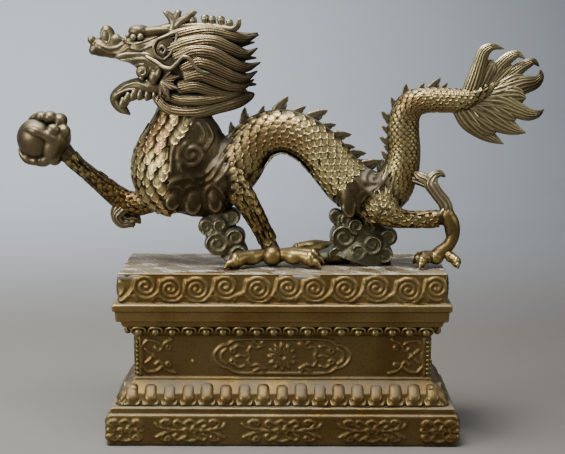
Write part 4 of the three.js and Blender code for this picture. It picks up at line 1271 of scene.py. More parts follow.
def ropes(lines, surface, radius, sides=(-1, 1)):
    """Round ridges laid along flat lines on both sides of a skin, thin at their open ends."""
    shells = []
    for side in sides:
        for run in [r for line in lines for r in dropped(line, surface, side, sink=0.4 * radius)]:
            count = len(run)
            if count < 4:
                continue
            closed = math.dist(run[0], run[-1]) < 1.5
            rows = []
            for i, point in enumerate(run):
                end = min(1, 5 * i / count, 5 * (count - 1 - i) / count)
                rows.append((*point, radius * (1 if closed else 0.25 + 0.75 * end)))
            shells.append(sweep(rows, 8, 2 * count))
    return shells


def back_lines(stations, surface, first, last, angle, radius):
    """The groove's edge on each side of the smooth band along the back."""
    shells = []
    for side in (-1, 1):
        run = []
        for row, _, wide, high in zip(*even_rows(stations, 3.0, first, last)):
            a = math.radians(angle) * side
            spoke = high * row[3] * math.cos(a) + wide * row[4] * math.sin(a)
            start = Vector(row[:3] + 1.5 * spoke)
            hit, _, _, _ = surface.ray_cast(start, Vector(-spoke).normalized(), 30)
            if hit is not None:
                run.append((*hit, radius))
        if len(run) > 3:
            shells.append(sweep(run, 8, 2 * len(run)))
    return shells

# %% [markdown]
# ## Scales
# Scales overlap like roof tiles, from the neck to the tail. One low tile is modelled. Seats are
# found by looking in from outside at even steps along and around each roll, every second row
# shifted by half a scale, and the seat tree lays a tile on each.


# %% One scale and its seats
def scale_shell():
    """A keeled tile of unit length and width: X towards its free end, Z outwards."""
    along, across = 5, 4
    points = []
    for i in range(along + 1):
        u = i / along
        half = 0.52 * (1 - max(0.0, (u - 0.5) / 0.505) ** 2.2) ** 0.5
        rise = 0.02 + 0.3 * u
        for j in range(across + 1):
            v = 2 * j / across - 1
            keel = 1 - 0.5 * abs(v) ** 1.8
            points.append((-0.58 + 1.14 * u, v * half, rise * keel * (1 if u < 1 else 0.72)))
    faces, rim = grid_faces(across + 1, along + 1)
    faces = [(a, d, c, b) for a, b, c, d in faces]
    return with_back(points, faces, rim, [(points[i][0] * 0.98, points[i][1] * 0.98,
                                           -0.2) for i in rim])


def even_rows(stations, pitch, first=0.0, last=1.0):
    """Rows at an even distance along a path, with their three directions."""
    dense = smooth_rows([list(r) + [r[3]] * (5 - len(r)) for r in stations], 500)
    along, wide, high = frames_along(dense)
    reach = np.concatenate([[0], np.cumsum(np.linalg.norm(np.diff(dense[:, :3], axis=0), axis=1))])
    stops = np.arange(first * reach[-1], last * reach[-1], pitch)
    picks = np.searchsorted(reach, stops).clip(0, len(dense) - 1)
    return dense[picks], along[picks], wide[picks], high[picks]


# A seat is on its own roll where the skin lies between these shares of the roll's half-width.
ON_ROLL = (0.72, 1.3)


def scale_seats(stations, surface, pitch, width, first, last, angles, keep=None, tall=4.0):
    """Seats round a roll between two angles from its back, wherever the skin is the roll's own."""
    seats = []
    rows = even_rows(stations, pitch, first, last)
    for k, (row, along, wide, high) in enumerate(zip(*rows)):
        around = math.pi * (row[3] + row[4])
        count = max(6, round(around / width))
        for i in range(count):
            angle = 2 * math.pi * (i + 0.5 * (k % 2)) / count
            from_back = abs((math.degrees(angle) + 180) % 360 - 180)
            if not angles[0] <= from_back <= angles[1]:
                continue
            spoke = high * row[3] * math.cos(angle) + wide * row[4] * math.sin(angle)
            origin = row[:3] + 1.6 * spoke
            hit, normal, _, _ = surface.ray_cast(
                Vector(origin), Vector(-spoke).normalized(), 1.7 * float(np.linalg.norm(spoke)))
            if hit is None:
                continue
            share = float(np.linalg.norm(np.array(hit) - row[:3]) / np.linalg.norm(spoke))
            if not ON_ROLL[0] < share < ON_ROLL[1]:
                continue
            if keep is not None and not keep(hit.x, hit.y, hit.z):
                continue
            spacing = pitch
            if k + 1 < len(rows[0]):
                ahead, _, wide_ahead, high_ahead = [column[k + 1] for column in rows]
                step = (ahead[:3] + high_ahead * ahead[3] * math.cos(angle)
                        + wide_ahead * ahead[4] * math.sin(angle) - row[:3] - spoke)
                spacing = float(np.clip(np.linalg.norm(step), 0.6 * pitch, 1.2 * pitch))
            size = around / count
            seats.append((tuple(hit), tuple(normal), tuple(along), 2.5 * spacing, 1.06 * size, tall))
    return seats


def paint_overlap_shade(mesh):
    """Paints shade where a scale goes under the one before it and along its sides, from its own length
    and width.
    """
    values = []
    for vertex in mesh.vertices:
        u, v = (vertex.co.x / MM + 0.58) / 1.14, 2 * abs(vertex.co.y / MM)
        inside = min(1, max(0, (u - 0.36 - 0.3 * v) / 0.2))
        edge = min(1, max(0, (v - 0.8) / 0.15))
        values.append(max(1 - inside, 0.7 * edge))
    mesh.attributes.new("lodged", "FLOAT", "POINT").data.foreach_set("value", values)


scale_pattern = piece_from("scale_pattern", [scale_shell()])
# Each scale carries its painted shade as a point attribute, read by the scale metals.
paint_overlap_shade(scale_pattern.data)


def chest_front(x, y, z):
    """The part of the neck and chest in front of the shoulder's cape."""
    edge = np.interp(z, [30, 46, 57, 76, 94, 120], [-70, -76.5, -78.5, -74, -62.5, -60])
    return x < edge + 0.12 * abs(y)


def clear_of_cape(x, y, z):
    """Past the shoulder's cape."""
    return x > np.interp(z, [40, 60, 76, 90], [-28, -34, -35, -27])


def above_haunch(x, y, z):
    """The tail, past the fine strands at its root."""
    return z > 60 or x > 70


# %% Laying the scales
ridges = cast_in(body_metal, piece_from("carved_ridges", (
    ropes(shoulder_lines(), body_skin, 0.8) + ropes(haunch_lines(), body_skin, 0.7)
    + ropes(lobe_rims(SHOULDER_LOBES), body_skin, 0.95)
    + ropes(lobe_rims(HAUNCH_LOBES), body_skin, 0.95)
    + back_lines(ARCH, body_skin, 0.28, 0.9, 24, 0.55)
    + back_lines(TAIL, body_skin, 0.16, 0.75, 24, 0.45)
), PLINTH_TOP))
chest_seats = scale_seats(CHEST, body_skin, 3.7, 7.4, 0.0, 0.97, (58, 180), chest_front, tall=4.4)
arch_seats = scale_seats(ARCH, body_skin, 2.8, 6.2, 0.14, 0.86, (27, 150), clear_of_cape, tall=4.2)
tail_seats = scale_seats(TAIL, body_skin, 2.0, 3.9, 0.14, 0.99, (25, 180), above_haunch, tall=2.8)
limb_seats = []
for path, pitch, width, first, last, tall in (
    (NEAR_ARM, 2.9, 5.2, 0.26, 0.8, 3.2), (FAR_ARM, 2.8, 5.0, 0.1, 0.86, 3.2),
    (NEAR_THIGH, 2.5, 4.2, 0.1, 0.84, 3.0), (FAR_THIGH, 2.7, 4.4, 0.2, 0.9, 2.8),
):
    limb_seats += scale_seats(path, body_skin, pitch, width, first, last, (0, 180), tall=tall)
scales = []
for name, seats, metal, seed in (
    ("chest_scales", chest_seats, scale_metal, 41), ("arch_scales", arch_seats, scale_metal, 42),
    ("tail_scales", tail_seats, scale_metal, 43), ("limb_scales", limb_seats, limb_metal, 44),
):
    scales.append(set_on_seats(name, scale_pattern, seats, metal, 0.08, seed, PLINTH_TOP))
    scales[-1].data.shade_smooth()
    print(name, len(seats), "scales")
    report(scales[-1])


# %% [markdown]
# ## Belly plates and back fins
# Broad plates cross the belly, and a crest of ribbed fins, large and small by turns, follows the
# back from the shoulder over the tail. Both ride on the same seat tree as the scales.

# %% Plates and fins
FIN_SINK, PLATE_REACH = 0.6, 0.9


def fin_shell():
    """A ribbed fin of unit length and height that leans back to a hooked tip."""
    rings = []
    for v in np.linspace(0, 1, 11):
        chord = (0.5 * (1 - v) ** 0.6 + 0.015) * (1 + 0.1 * math.cos(18 * v))
        middle = 0.62 * v ** 1.7
        thick = 0.16 * (1 - v) ** 0.5 + 0.02
        ring = []
        for a in np.linspace(0, 2 * math.pi, 16, endpoint=False):
            rib = 1 + 0.45 * math.cos(8 * a)
            ring.append((middle + chord * math.cos(a), thick * rib * math.sin(a), v - 0.12))
        rings.append(ring)
    return skin(rings)


def plate_shell():
    """A belly plate: unit long, unit wide, curling up at its ends and thick at its free edge."""
    rings = []
    for v in np.linspace(-1, 1, 9):
        bow = -0.16 * v * v
        half = 0.56 * (1 - 0.25 * v * v)
        rings.append([
            (-half, 0.5 * v, bow - 0.12), (-half, 0.5 * v, bow), (0.1, 0.5 * v, bow + 0.13),
            (half, 0.5 * v, bow + 0.2), (half + 0.04, 0.5 * v, bow + 0.02), (half, 0.5 * v, bow - 0.12),
        ])
    return skin(rings)


def crest_seats(stations, first, last, pitch, big, small, long):
    """Seats along the back of a roll, large and small by turns, each sunk into the skin."""
    seats = []
    for k, (row, along, _, high) in enumerate(zip(*even_rows(stations, pitch, first, last))):
        tall, length = (big, long) if k % 2 == 0 else (small, 0.62 * long)
        root = row[:3] + high * (row[3] - FIN_SINK)
        seats.append((tuple(root), tuple(high), tuple(along), length, tall, tall))
    return seats


def belly_seats(stations, surface, first, last, pitch):
    """Seats under a roll for plates that reach nearly across it."""
    seats = []
    for row, along, _, high in zip(*even_rows(stations, pitch, first, last)):
        start = Vector(row[:3] + 1.5 * (-high * row[3]))
        hit, _, _, _ = surface.ray_cast(start, Vector(high), 20.0)
        if hit is not None and np.linalg.norm(np.array(hit) - row[:3]) < 1.25 * row[3]:
            seats.append((tuple(np.array(hit) + 0.1 * high), tuple(-high), tuple(along),
                          1.25 * pitch, PLATE_REACH * 2 * row[4], 3.0))
    return seats


fin_pattern = piece_from("fin_pattern", [fin_shell()])
plate_pattern = piece_from("plate_pattern", [plate_shell()])
fin_seats = crest_seats(ARCH, 0.33, 0.9, 7.6, 9.4, 5.4, 10.5)
fin_seats += crest_seats(TAIL, 0.2, 0.72, 6.4, 7.0, 4.4, 8.0)
back_fins = set_on_seats("back_fins", fin_pattern, fin_seats, face_metal, 0.16, 51, PLINTH_TOP)
plate_seats = belly_seats(ARCH, body_skin, 0.36, 0.72, 5.2)
belly_plates = set_on_seats("belly_plates", plate_pattern, plate_seats, body_metal, 0.03, 52,
                            PLINTH_TOP)
for thing in (back_fins, belly_plates):
    thing.data.shade_smooth()
    report(thing)
for pattern in (scale_pattern, fin_pattern, plate_pattern):
    bpy.data.objects.remove(pattern)

# %% [markdown]
# ## The tail fan
# Seven long lobes spread from the end of the tail. Each is a flat lock with fine grooves along it,
# so the section of its sweep is fluted. Shorter lobes fill the notches between their roots.

# %% Lobes and fillers
FAN_LOBES = [
    [(119, 0, 107, 6, 3), (123, -2, 119, 5.6, 3), (126, -3, 130, 4.6, 2.5), (128.5, -4, 137.4, 4, 2.2),
     (133.5, -4, 140.6, 2.6, 1.8), (141.2, -4, 139.4, 0.4, 0.4)],
    [(123, 0, 107, 6, 3), (133, 1, 119, 5.4, 3), (139.6, 2, 128, 4.4, 2.4), (146, 2, 134, 3.6, 2.1),
     (151, 2, 135.8, 2.4, 1.7), (155.4, 2, 133, 0.4, 0.4)],
    [(127, 0, 108, 6, 3), (139, 2, 117, 5.2, 3), (149, 4, 124, 4.4, 2.4), (156.5, 5, 129, 3.4, 2.1),
     (162, 5, 131, 2.2, 1.7), (165.2, 5, 128, 0.4, 0.4)],
    [(127, 0, 107, 6, 3), (142, 1, 111.5, 7.5, 3.1), (155, 3, 116, 6.2, 2.5), (163.2, 4, 118, 4.2, 2.1),
     (166.6, 5, 121.8, 2.2, 1.7), (166.2, 5, 126, 0.4, 0.4)],
    [(121, 0, 105, 8, 3.1), (140, 0, 104, 8, 3.1), (150, -2, 100.5, 5.5, 2.5),
     (158, -4, 97.6, 4.2, 2.1),
     (163.2, -5, 98, 2.6, 1.7), (167.4, -5, 100.8, 0.4, 0.4)],
    [(119, 0, 104, 8, 3.1), (132, 0, 98, 9, 3.1), (143, -1, 91, 6.5, 2.5), (150, -2, 87.5, 3.6, 1.9),
     (156.6, -2, 85.6, 0.4, 0.4)],
    [(115, 0, 103, 7, 3.1), (121.5, 0, 94, 8, 3.1), (129, 1, 86.4, 5.5, 2.5), (136, 2, 81.8, 3.4, 1.9),
     (143, 2, 78, 0.4, 0.4)],
]


def between(first, second):
    """A shorter lobe that fills the root of the notch between two."""
    rows = []
    for i in range(3):
        a, b = np.array(first[i], float), np.array(second[i], float)
        rows.append(tuple(0.5 * (a + b) * (1, 1, 1, 1.12, 0.92)))
    ends = [0.5 * (np.array(first[i], float) + np.array(second[i], float)) for i in (2, 3)]
    rows.append((*(0.5 * (ends[0] + ends[1]))[:3], 0.6, 0.6))
    return rows


def fan_shells():
    shells = [sweep(lobe, 56, 28, flutes=14, depth=0.3) for lobe in FAN_LOBES]
    shells += [sweep(between(a, b), 56, 22, flutes=14, depth=0.3) for a,
               b in zip(FAN_LOBES, FAN_LOBES[1:])]
    shells.append(lump((131, 0, 107), (15, 2.0, 11), 0, 48, 24))
    return shells


tail_fan = cast_in(fan_metal, piece_from("tail_fan", fan_shells(), PLINTH_TOP))

# %% [markdown]
# ## The head
# The skull, snout and jaws are melted from eggs and rolls as the body is, with a finer voxel. Lips,
# eyes, antlers, ears and the cheek frill are separate forms pressed on, because their edges are
# crisp. Everything is drawn on the near side and mirrored.

# %% Skull and jaws
UPPER_JAW = [
    (-123.6, 0, 141, 3.2, 3.5), (-120, 0, 140.6, 5.6, 6.4), (-112, 0, 140, 6.4, 7.4),
    (-103, 0, 139, 7.2, 8), (-94, 0, 138.4, 10.6, 11), (-84, 0, 136, 15, 13.4),
    (-72, 0, 131, 18.4, 14.6), (-60, 0, 128, 18.4, 14.6),
]
LOWER_JAW = [
    (-76, 0, 116, 8.4, 11.6), (-86, 0, 115.6, 6.6, 10), (-95, 0, 115.4, 5.2, 8),
    (-102.4, 0, 113, 4.6, 6.8),
    (-108, 0, 108.2, 3.8, 5), (-107.6, 0, 103.6, 2.9, 3.2), (-103.6, 0, 99.6, 2.2, 2.4),
    (-99.5, 0, 97.6, 0.5, 0.5),
]


def skull_shells():
    shells = [sweep(UPPER_JAW, 26), sweep(LOWER_JAW, 22)]
    shells += both_sides([
        lump((-112.2, 3.4, 147.2), (4.6, 3.6, 7.4), -10),
        lump((-107.4, 3.0, 144), (6.6, 4.2, 4.4), 24),
        lump((-122.6, 3.2, 145), (2.5, 2.6, 2.6)),
        lump((-120.8, 4.0, 138.4), (3.4, 3.4, 3.2)),
        lump((-92.2, 6.8, 150.4), (6.4, 5.0, 4.2)),
        lump((-96, 7.4, 144.6), (5, 3.8, 2.8)),
        lump((-90.5, 9.6, 140.4), (7, 3.2, 4.0)),
        sweep([(-89, 6.6, 149.4, 3.4), (-80, 6.8, 150.4, 3.4), (-71, 6.2, 150.8, 3.2)], 14, 20),
        lump((-81.9, 12.0, 121), (3.4, 3.2, 4.6)),
        lump((-78.5, 12.6, 124.4), (2.6, 2.6, 5.0), 20),
        lump((-89.6, 8.6, 124.6), (4.2, 3.0, 4.2)),
        lump((-100, 7.2, 134.8), (7, 2.4, 3.0)),
    ])
    return shells


head = fused(piece_from("head", skull_shells(), PLINTH_TOP), 0.65, 3)
head_skin = skin_of(head)


def head_lines():
    """Wrinkles of the snout, cheek and brow, drawn from the side."""
    return [
        curve([(-119, 143.4), (-112, 139.8), (-105, 140.4), (-100, 143.6)], 20),
        curve([(-116.6, 140), (-110, 137), (-103, 137.4), (-98, 140.4)], 20),
        curve([(-107.8, 150.4), (-104.6, 145.8), (-101, 144.6), (-99.6, 146)], 14),
        curve([(-99, 143.2), (-93, 142.6), (-86.4, 144.4), (-80, 147)], 20),
        curve([(-97, 140.4), (-90, 138.8), (-83, 141.4)], 16),
        curve([(-84, 127), (-86.4, 122), (-84.6, 117.6)], 12),
        curve([(-106, 111.8), (-100, 116), (-92, 117.6), (-85.6, 115)], 16),
    ]


carved = []
for line in head_lines():
    carved += dropped(line, head_skin) + dropped(line, head_skin, side=1)
raise_lines(head, carved, 1.0, 0.8, face_metal, grain=0.12, grain_size=1.4, lift=PLINTH_TOP)
report(head)


# %% Lips, eyes and whiskers
def lip_shells():
    """Folded lips, jaw rims, the nostril's rim and the curl at the mouth's corner."""
    folds = [
        ([(-122, 135.6), (-117, 134.2), (-111, 133.6), (-105, 134.6), (-98, 136.2), (-91, 136.6),
          (-85, 135.6), (-80.2, 131.6)], 1.25),
        ([(-105.6, 132.6), (-99, 132.4), (-92, 133.4), (-86, 132.8), (-80.6, 128.8)], 1.4),
        ([(-102, 129.6), (-96.4, 128.4), (-91, 129.8), (-86.6, 129.4)], 1.2),
        ([(-111.4, 110.6), (-107.4, 116), (-101.4, 120.2), (-95, 121.8), (-89, 120.6), (-85, 118)],
         1.35),
        ([(-110.4, 106), (-107, 109.8), (-102, 112.6), (-96, 113.6), (-90, 112.6)], 0.9),
    ]
    shells = []
    for points, radius in folds:
        shells += ropes([curve(points, 30)], head_skin, radius, sides=(-1,))
    shells += ropes([spiral(-89.6, 124.6, 3.4, 1.3, 150, True, steps=22)], head_skin, 0.85, sides=(-1,))
    shells += ropes([ellipse(-112.6, 147.4, 2.5, 4.2, -10)], head_skin, 0.75, sides=(-1,))
    shells += [
        lump((-94.8, 10.4, 146.4), (2.4, 2.2, 2.3), around=16, up=10),
        lump((-98.4, 9.0, 147.8), (1.8, 1.7, 1.7), around=14, up=9),
        lump((-90.2, 11.0, 146.8), (2.3, 2.2, 2.3), around=16, up=10),
    ]
    return both_sides([mirrored(shell) for shell in shells[:-3]] + shells[-3:])


WHISKER = [
    (-87, 12.6, 135, 1.1), (-80.2, 15.0, 131.4, 1.3), (-74.6, 17, 127.8, 1.4),
    (-70.4, 18.2, 127.4, 1.4),
    (-66.4, 19.2, 130.8, 1.4), (-62.4, 19.6, 134.4, 1.4), (-59, 19.8, 133.8, 1.4),
    (-56, 19.8, 130, 1.3),
    (-52, 20, 126, 1.2), (-46, 20, 124.4, 0.6),
]


# %% Antlers, ears, frills and beard
HORN_BEAM = [
    (-84, 5, 149, 3.0), (-74, 5.6, 152, 3.6), (-62, 6.6, 152.8, 3.3), (-50, 7.8, 153.2, 3.0),
    (-38, 9, 152.4, 2.6), (-31.6, 10, 152, 2.2), (-28.6, 10.3, 154.4, 1.7), (-27.6, 10.5, 158.4, 0.7),
]
# Each prong of the fork, from its root to its tip, with its thickness.
FORK = [
    [(-70, 5.8, 150, 4.0), (-69.2, 5.8, 155.4, 3.6), (-71.2, 6.2, 159, 2.5), (-74.4, 6.6, 162.2, 1.6)],
    [(-69.2, 5.8, 154, 3.2), (-68, 5.4, 158.8, 2.5), (-66.8, 5, 162.6, 1.7)],
    [(-68, 6.2, 153, 3.4), (-64.6, 7, 156.4, 3.0), (-60.6, 7.8, 159, 2.4), (-57.2, 8.4, 162.4, 1.5)],
]
# Knobs along the beam: x, y, height and thickness.
KNOBS = [(-57.6, 7, 157.4, 2.3), (-49.6, 8, 158.8, 2.3), (-45.2, 8.4, 158.2, 2.1),
         (-39.6, 8.8, 158, 2.2),
         (-34, 9.4, 156, 2.0)]


def horn_shells():
    shells = [sweep(HORN_BEAM, 16, 44, flutes=4, depth=0.14, turn=2.5)]
    for prong in FORK:
        shells.append(sweep(prong, 12, 20))
        shells.append(lump(prong[-1][:3], (1.9, 1.8, 1.3), around=10, up=7))
    for x, y, z, r in KNOBS:
        shells.append(sweep([(x + 1.2, y, 152, r), (x + 0.4, y, 0.5 * (z + 152), 0.85 * r),
                             (x, y, z, r)], 12, 10))
        shells.append(lump((x, y, z), (r, r, 1.1 * r), around=12, up=8))
    return both_sides(shells)


def ear_shells():
    """A pointed leaf with a thin rolled rim round a curl."""
    rim = [(-75.4, 14.8, 132.6, 0.8), (-80, 15, 135.4, 0.9), (-81.6, 15, 140, 0.9),
           (-79.4, 15, 144.8, 0.9),
           (-74.6, 14.8, 147, 0.9), (-67.4, 13.2, 149.4, 0.8), (-68.4, 14.4, 141.6, 0.9),
           (-71.6, 15.0, 135.6, 0.9), (-75.4, 14.8, 132.6, 0.8)]
    curl = [(-78.4, 15, 139.2, 0.7), (-76.4, 15.6, 141.2, 0.9), (-74, 15.8, 139, 0.9),
            (-75.4, 16, 136.6, 0.8), (-77, 16, 137.6, 0.6)]
    leaf = lump((-75, 13.2, 140.4), (6.0, 1.6, 7.8), 32, around=28, up=18)
    return both_sides([leaf, sweep(rim, 8, 60), sweep(curl, 8, 30)])


def frill_shells():
    """A pleated fan behind the jaw's hinge, with a ridge to each of its five points."""
    around, out = 96, 8
    hub_x, hub_z = -77.6, 119.0
    sheets = []
    for rise in (0.0, -1.6):
        rows = []
        for i in range(around + 1):
            t = i / around
            angle = math.radians(52 - 150 * t)
            reach = 8.6 + 5.2 * (1 - abs(math.sin(4 * math.pi * t)) ** 0.75)
            pleat = 0.75 * math.cos(8 * math.pi * t) + 0.5 * math.cos(24 * math.pi * t)
            for k in range(out + 1):
                share = k / out
                y = -(14.6 + 3.9 * share - 1.2 * share ** 3 + pleat * share + rise)
                rows.append((hub_x + reach * share * math.cos(angle), y,
                             hub_z + reach * share * math.sin(angle)))
        sheets.append(rows)
    wide = out + 1
    size = len(sheets[0])
    faces = []
    for i in range(around):
        for k in range(out):
            a = i * wide + k
            faces.append((a, a + 1, a + wide + 1, a + wide))
            faces.append((size + a, size + a + wide, size + a + wide + 1, size + a + 1))
    rim = [i * wide + out for i in range(around + 1)]
    ends = [k for k in range(out + 1)], [around * wide + k for k in range(out + 1)]
    for a, b in zip(rim, rim[1:]):
        faces.append((a, size + a, size + b, b))
    for row in ends:
        for a, b in zip(row, row[1:]):
            faces.append((a, size + a, size + b, b))
    return both_sides([outward(np.array(sheets[0] + sheets[1], float), faces)])


def jaw_fringe():
    """Short tufts side by side under the lower jaw, down to the hooked beard."""
    spots = [(-77, 110.4, -96), (-81.6, 110, -98), (-86.4, 109.8, -102), (-91.2, 110, -108),
             (-95.6, 109.6, -114),
             (-99.6, 108, -122), (-102.6, 104.6, -112)]
    shells = []
    for x, z, angle in spots:
        a = math.radians(angle)
        lean, fall = math.cos(a), math.sin(a)
        shells.append(sweep([
            (x - 2.2 * lean, 5.8, z - 3.4 * fall, 2.4, 2.2), (x, 6.8, z, 2.7, 2.4),
            (x + 2.6 * lean, 6.4, z + 2.6 * fall, 2.0, 1.8),
            (x + 3.6 * lean, 6.0, z + 3.6 * fall, 0.6, 0.6),
        ], 18, 12, flutes=3, depth=0.2))
    shells.append(sweep([(-107.6, 1.6, 108, 2.4), (-105.6, 1.6, 103.6, 2.6), (-102, 1.4, 99.6, 2.4),
                         (-98.8, 1.2, 97, 0.6)], 16, 20, flutes=3, depth=0.15))
    return both_sides(shells)


head_parts = []
for label, shells in (
    ("lips_and_eyes", lip_shells()), ("horns", horn_shells()),
    ("ears", ear_shells()), ("cheek_frills", frill_shells()), ("jaw_fringe", jaw_fringe()),
    ("whiskers", both_sides([sweep(WHISKER, 10, 60)])),
):
    head_parts.append(cast_in(face_metal, piece_from(label, shells, PLINTH_TOP)))

# %% [markdown]
# ## The mane
# Thick locks stream back from the cheeks and crown and curl up at their tips. Each is a sweep with
# sixteen fine grooves along it, which read as strands. A core fills the space between the locks
# of both sides, so that no gap shows through.

# %% Locks
MANE_CORE = [
    (-78, 0, 127, 18, 12), (-64, 0, 127, 21.5, 14.5), (-48, 0, 127.4, 20.5, 14.5),
    (-34, 0, 127.6, 16.5, 11),
    (-24, 0, 127.6, 9, 6),
]
MANE_LOCKS = [
    [(-76, 7, 143.6, 5, 4.4), (-62, 9, 148.2, 5, 4.8), (-46, 9.4, 150.2, 4.6, 4.6),
     (-33, 9, 147.4, 4.0, 4),
     (-24, 8, 145.6, 2.8, 2.8), (-15.6, 7, 148.2, 0.5)],
    [(-74, 10, 137.6, 5.2, 4.6), (-60, 13.4, 142.2, 5.2, 4.8), (-45, 13.6, 143.6, 4.8, 4.6),
     (-33, 12, 139.2, 4.2, 4),
     (-24, 10.2, 136, 2.9, 2.8), (-16.4, 9, 139.6, 0.5)],
    [(-68, 13, 133.2, 5, 4.6), (-56, 15.6, 137.6, 5, 4.8), (-44, 15.8, 136.4, 4.8, 4.6),
     (-33, 14, 130.6, 4.2, 4),
     (-23.6, 11.8, 127.4, 3.0, 2.8), (-14.6, 10, 130.4, 0.5)],
    [(-64, 14, 127.6, 4.6, 4.4), (-53, 16.6, 130.8, 4.6, 4.6), (-42, 16, 127.6, 4.6, 4.4),
     (-32, 14, 122.6, 3.8, 3.8),
     (-24, 12.2, 120.8, 2.7, 2.6), (-16.6, 10, 124.8, 0.5)],
    [(-62, 14.4, 121.6, 4.6, 4.4), (-52, 16, 123.4, 4.6, 4.6), (-41, 14.8, 119.4, 4.2, 4.2),
     (-32, 13, 115.8, 3.2, 3.4),
     (-25, 11.4, 115.8, 2.3, 2.4), (-18.8, 10, 119.4, 0.5)],
    [(-66, 13, 115, 4.6, 4.4), (-55, 14.8, 116.2, 4.6, 4.6), (-44, 13.4, 112.6, 3.8, 4),
     (-35, 11.6, 111, 2.8, 3),
     (-29, 10.4, 112, 2.0, 2.2), (-23.4, 9.6, 115.4, 0.5)],
]
THROAT_LOCKS = [
    [(-80, 7, 108.4, 3.8, 4.6), (-72, 9.4, 101.4, 4.8, 5.6), (-57, 10.6, 99.8, 5, 5.8),
     (-41, 9, 103.4, 5.2, 5),
     (-28, 7, 107, 5, 4.2), (-20.6, 5.4, 109.4, 2.6, 2.6), (-18.4, 5, 110.4, 0.8)],
    [(-76, 11, 112.4, 3.4, 3.4), (-67, 12.6, 107.8, 3.8, 4), (-55, 13.4, 107.2, 4, 4.4),
     (-43, 12, 108.4, 3.8, 4.4),
     (-32, 9.6, 110.8, 3.2, 3.6), (-24, 8, 113.6, 0.6)],
    [(-74, 8, 110, 5, 6), (-60, 9, 108, 6, 6), (-44, 8, 109, 6, 5.4), (-30, 6, 111, 4, 4),
     (-23, 5, 112, 0.8)],
    [(-79, 3, 104.8, 3.2, 4), (-70, 5, 100.2, 4.2, 5), (-56, 6, 98.6, 4.2, 5), (-42, 5, 101.8, 4, 4.4),
     (-30, 4, 104.6, 3.4, 3.4), (-23, 3, 105.6, 0.8)],
]
CREST_LOCKS = [
    [(-76, 0, 147, 5, 4.8), (-58, 1, 149, 4.4, 4.6), (-38, 1, 148.2, 3.6, 4), (-24, 1, 147.2, 2.4, 2.8),
     (-16, 1, 149.4, 0.5)],
    [(-70, 3.6, 144.5, 5, 4.4), (-48, 4.4, 146, 4, 4.4), (-30, 4, 142.6, 3, 3.4), (-18, 4, 143.4, 0.5)],
    [(-60, 5, 136, 5, 5), (-36, 5, 134, 4, 4.4), (-17, 4, 133.4, 0.5)],
    [(-56, 5, 122, 5, 5), (-34, 5, 118, 4, 4.4), (-17, 4, 116.4, 0.5)],
]


def mane_shells():
    shells = [sweep(MANE_CORE, 28)]
    locks = [sweep(lock, 56, 36, flutes=16, depth=0.2, turn=0.5 + 0.1 * i)
             for i, lock in enumerate(MANE_LOCKS)]
    locks += [sweep(lock, 60, 34, flutes=17, depth=0.15, turn=0.3) for lock in THROAT_LOCKS]
    locks += [sweep(lock, 42, 24, flutes=12, depth=0.2) for lock in CREST_LOCKS]
    return shells + both_sides(locks)


mane = cast_in(mane_metal, piece_from("mane", mane_shells(), PLINTH_TOP))

# %% [markdown]
# ## Feet, the pearl's hand and tufts
# Each toe arches from the heel over knuckles to a claw. The raised hand is fused from a palm,
# knuckles and four fingers wrapped round the pearl. Tufts of hair curl off the elbow and the hock.

# %% Toes and claws
TOES = [
    [(-7, -10, 6.4), (-20, -16, 6.2), (-30, -22.4, 4.8), (-37, -28, 0.8)],
    [(-5, -11, 6), (7, -16.6, 6.8), (17.6, -20.4, 5.8), (24.5, -25.6, 0.8)],
    [(-5, -8, 6), (8, -7, 7.4), (20, -7, 6.4), (27, -9, 0.8)],
    [(98, -15, 6.5), (92, -12, 6.8), (88, -9, 4.8), (85, -7, 0.8)],
    [(98, -16, 6.5), (92.5, -19, 6.6), (89, -23, 4.6), (87.5, -27, 0.8)],
    [(103, -16, 9), (108, -19, 7), (111, -22, 4.5), (112, -26, 0.8)],
    [(34, 18, 7.5), (19, 15, 8.6), (9, 14, 6.6), (4, 13, 0.8)],
    [(34, 19, 7), (21, 24, 8), (12, 28, 5.4), (8, 30.5, 0.8)],
    [(35, 16, 7), (25, 10, 7.4), (17, 6, 5), (13, 4, 0.8)],
]
TOE_SIZES = [1.42, 1.4, 1.2, 0.98, 0.98, 0.98, 1.1, 1.05, 1.05]


def toe_shells():
    shells = []
    for toe, size in zip(TOES, TOE_SIZES):
        a, b, c, d = [np.array(p, float) for p in toe]
        rise = np.array([0, 0, 1.0])
        rows = [
            (a, 3.8), (0.5 * (a + b) + rise, 2.9), (b, 3.7), (0.5 * (b + c) + rise, 2.9), (c, 3.4),
            (0.7 * c + 0.3 * d, 2.7), (0.35 * c + 0.65 * d + rise, 1.7), (d, 0.5),
        ]
        shells.append(sweep([(*point, size * radius) for point, radius in rows], 16, 44,
                            across=(0, 1, 0.1)))
        shells.append(lump(tuple(c + 0.6 * rise), (2.6 * size, 3.6 * size, 3.6 * size), around=14,
                           up=10))
    return shells


def heel_shells():
    """The ball of the near front heel, and the bare shank from the hock to the hind foot."""
    shank = [(*row[:3], row[3] + 0.35) for row in NEAR_SHIN]
    return [
        lump((-6.6, -13.6, 6.9), (6.8, 6.6, 6.6), around=28, up=20), sweep(shank, 24),
        lump((105.4, -16.2, 34), (5.0, 4.9, 5.2), around=24, up=16),
        lump((98.6, -15.8, 6.6), (5.4, 5, 4.8), around=20, up=14),
    ]


feet = cast_in(foot_metal, piece_from("toes", toe_shells() + heel_shells(), PLINTH_TOP))

# %% The pearl and its hand
PEARL, PEARL_RADIUS = np.array([-162.4, 16, 80.5]), 13.4
FINGER_TURNS = [78, 22, -80, 165]
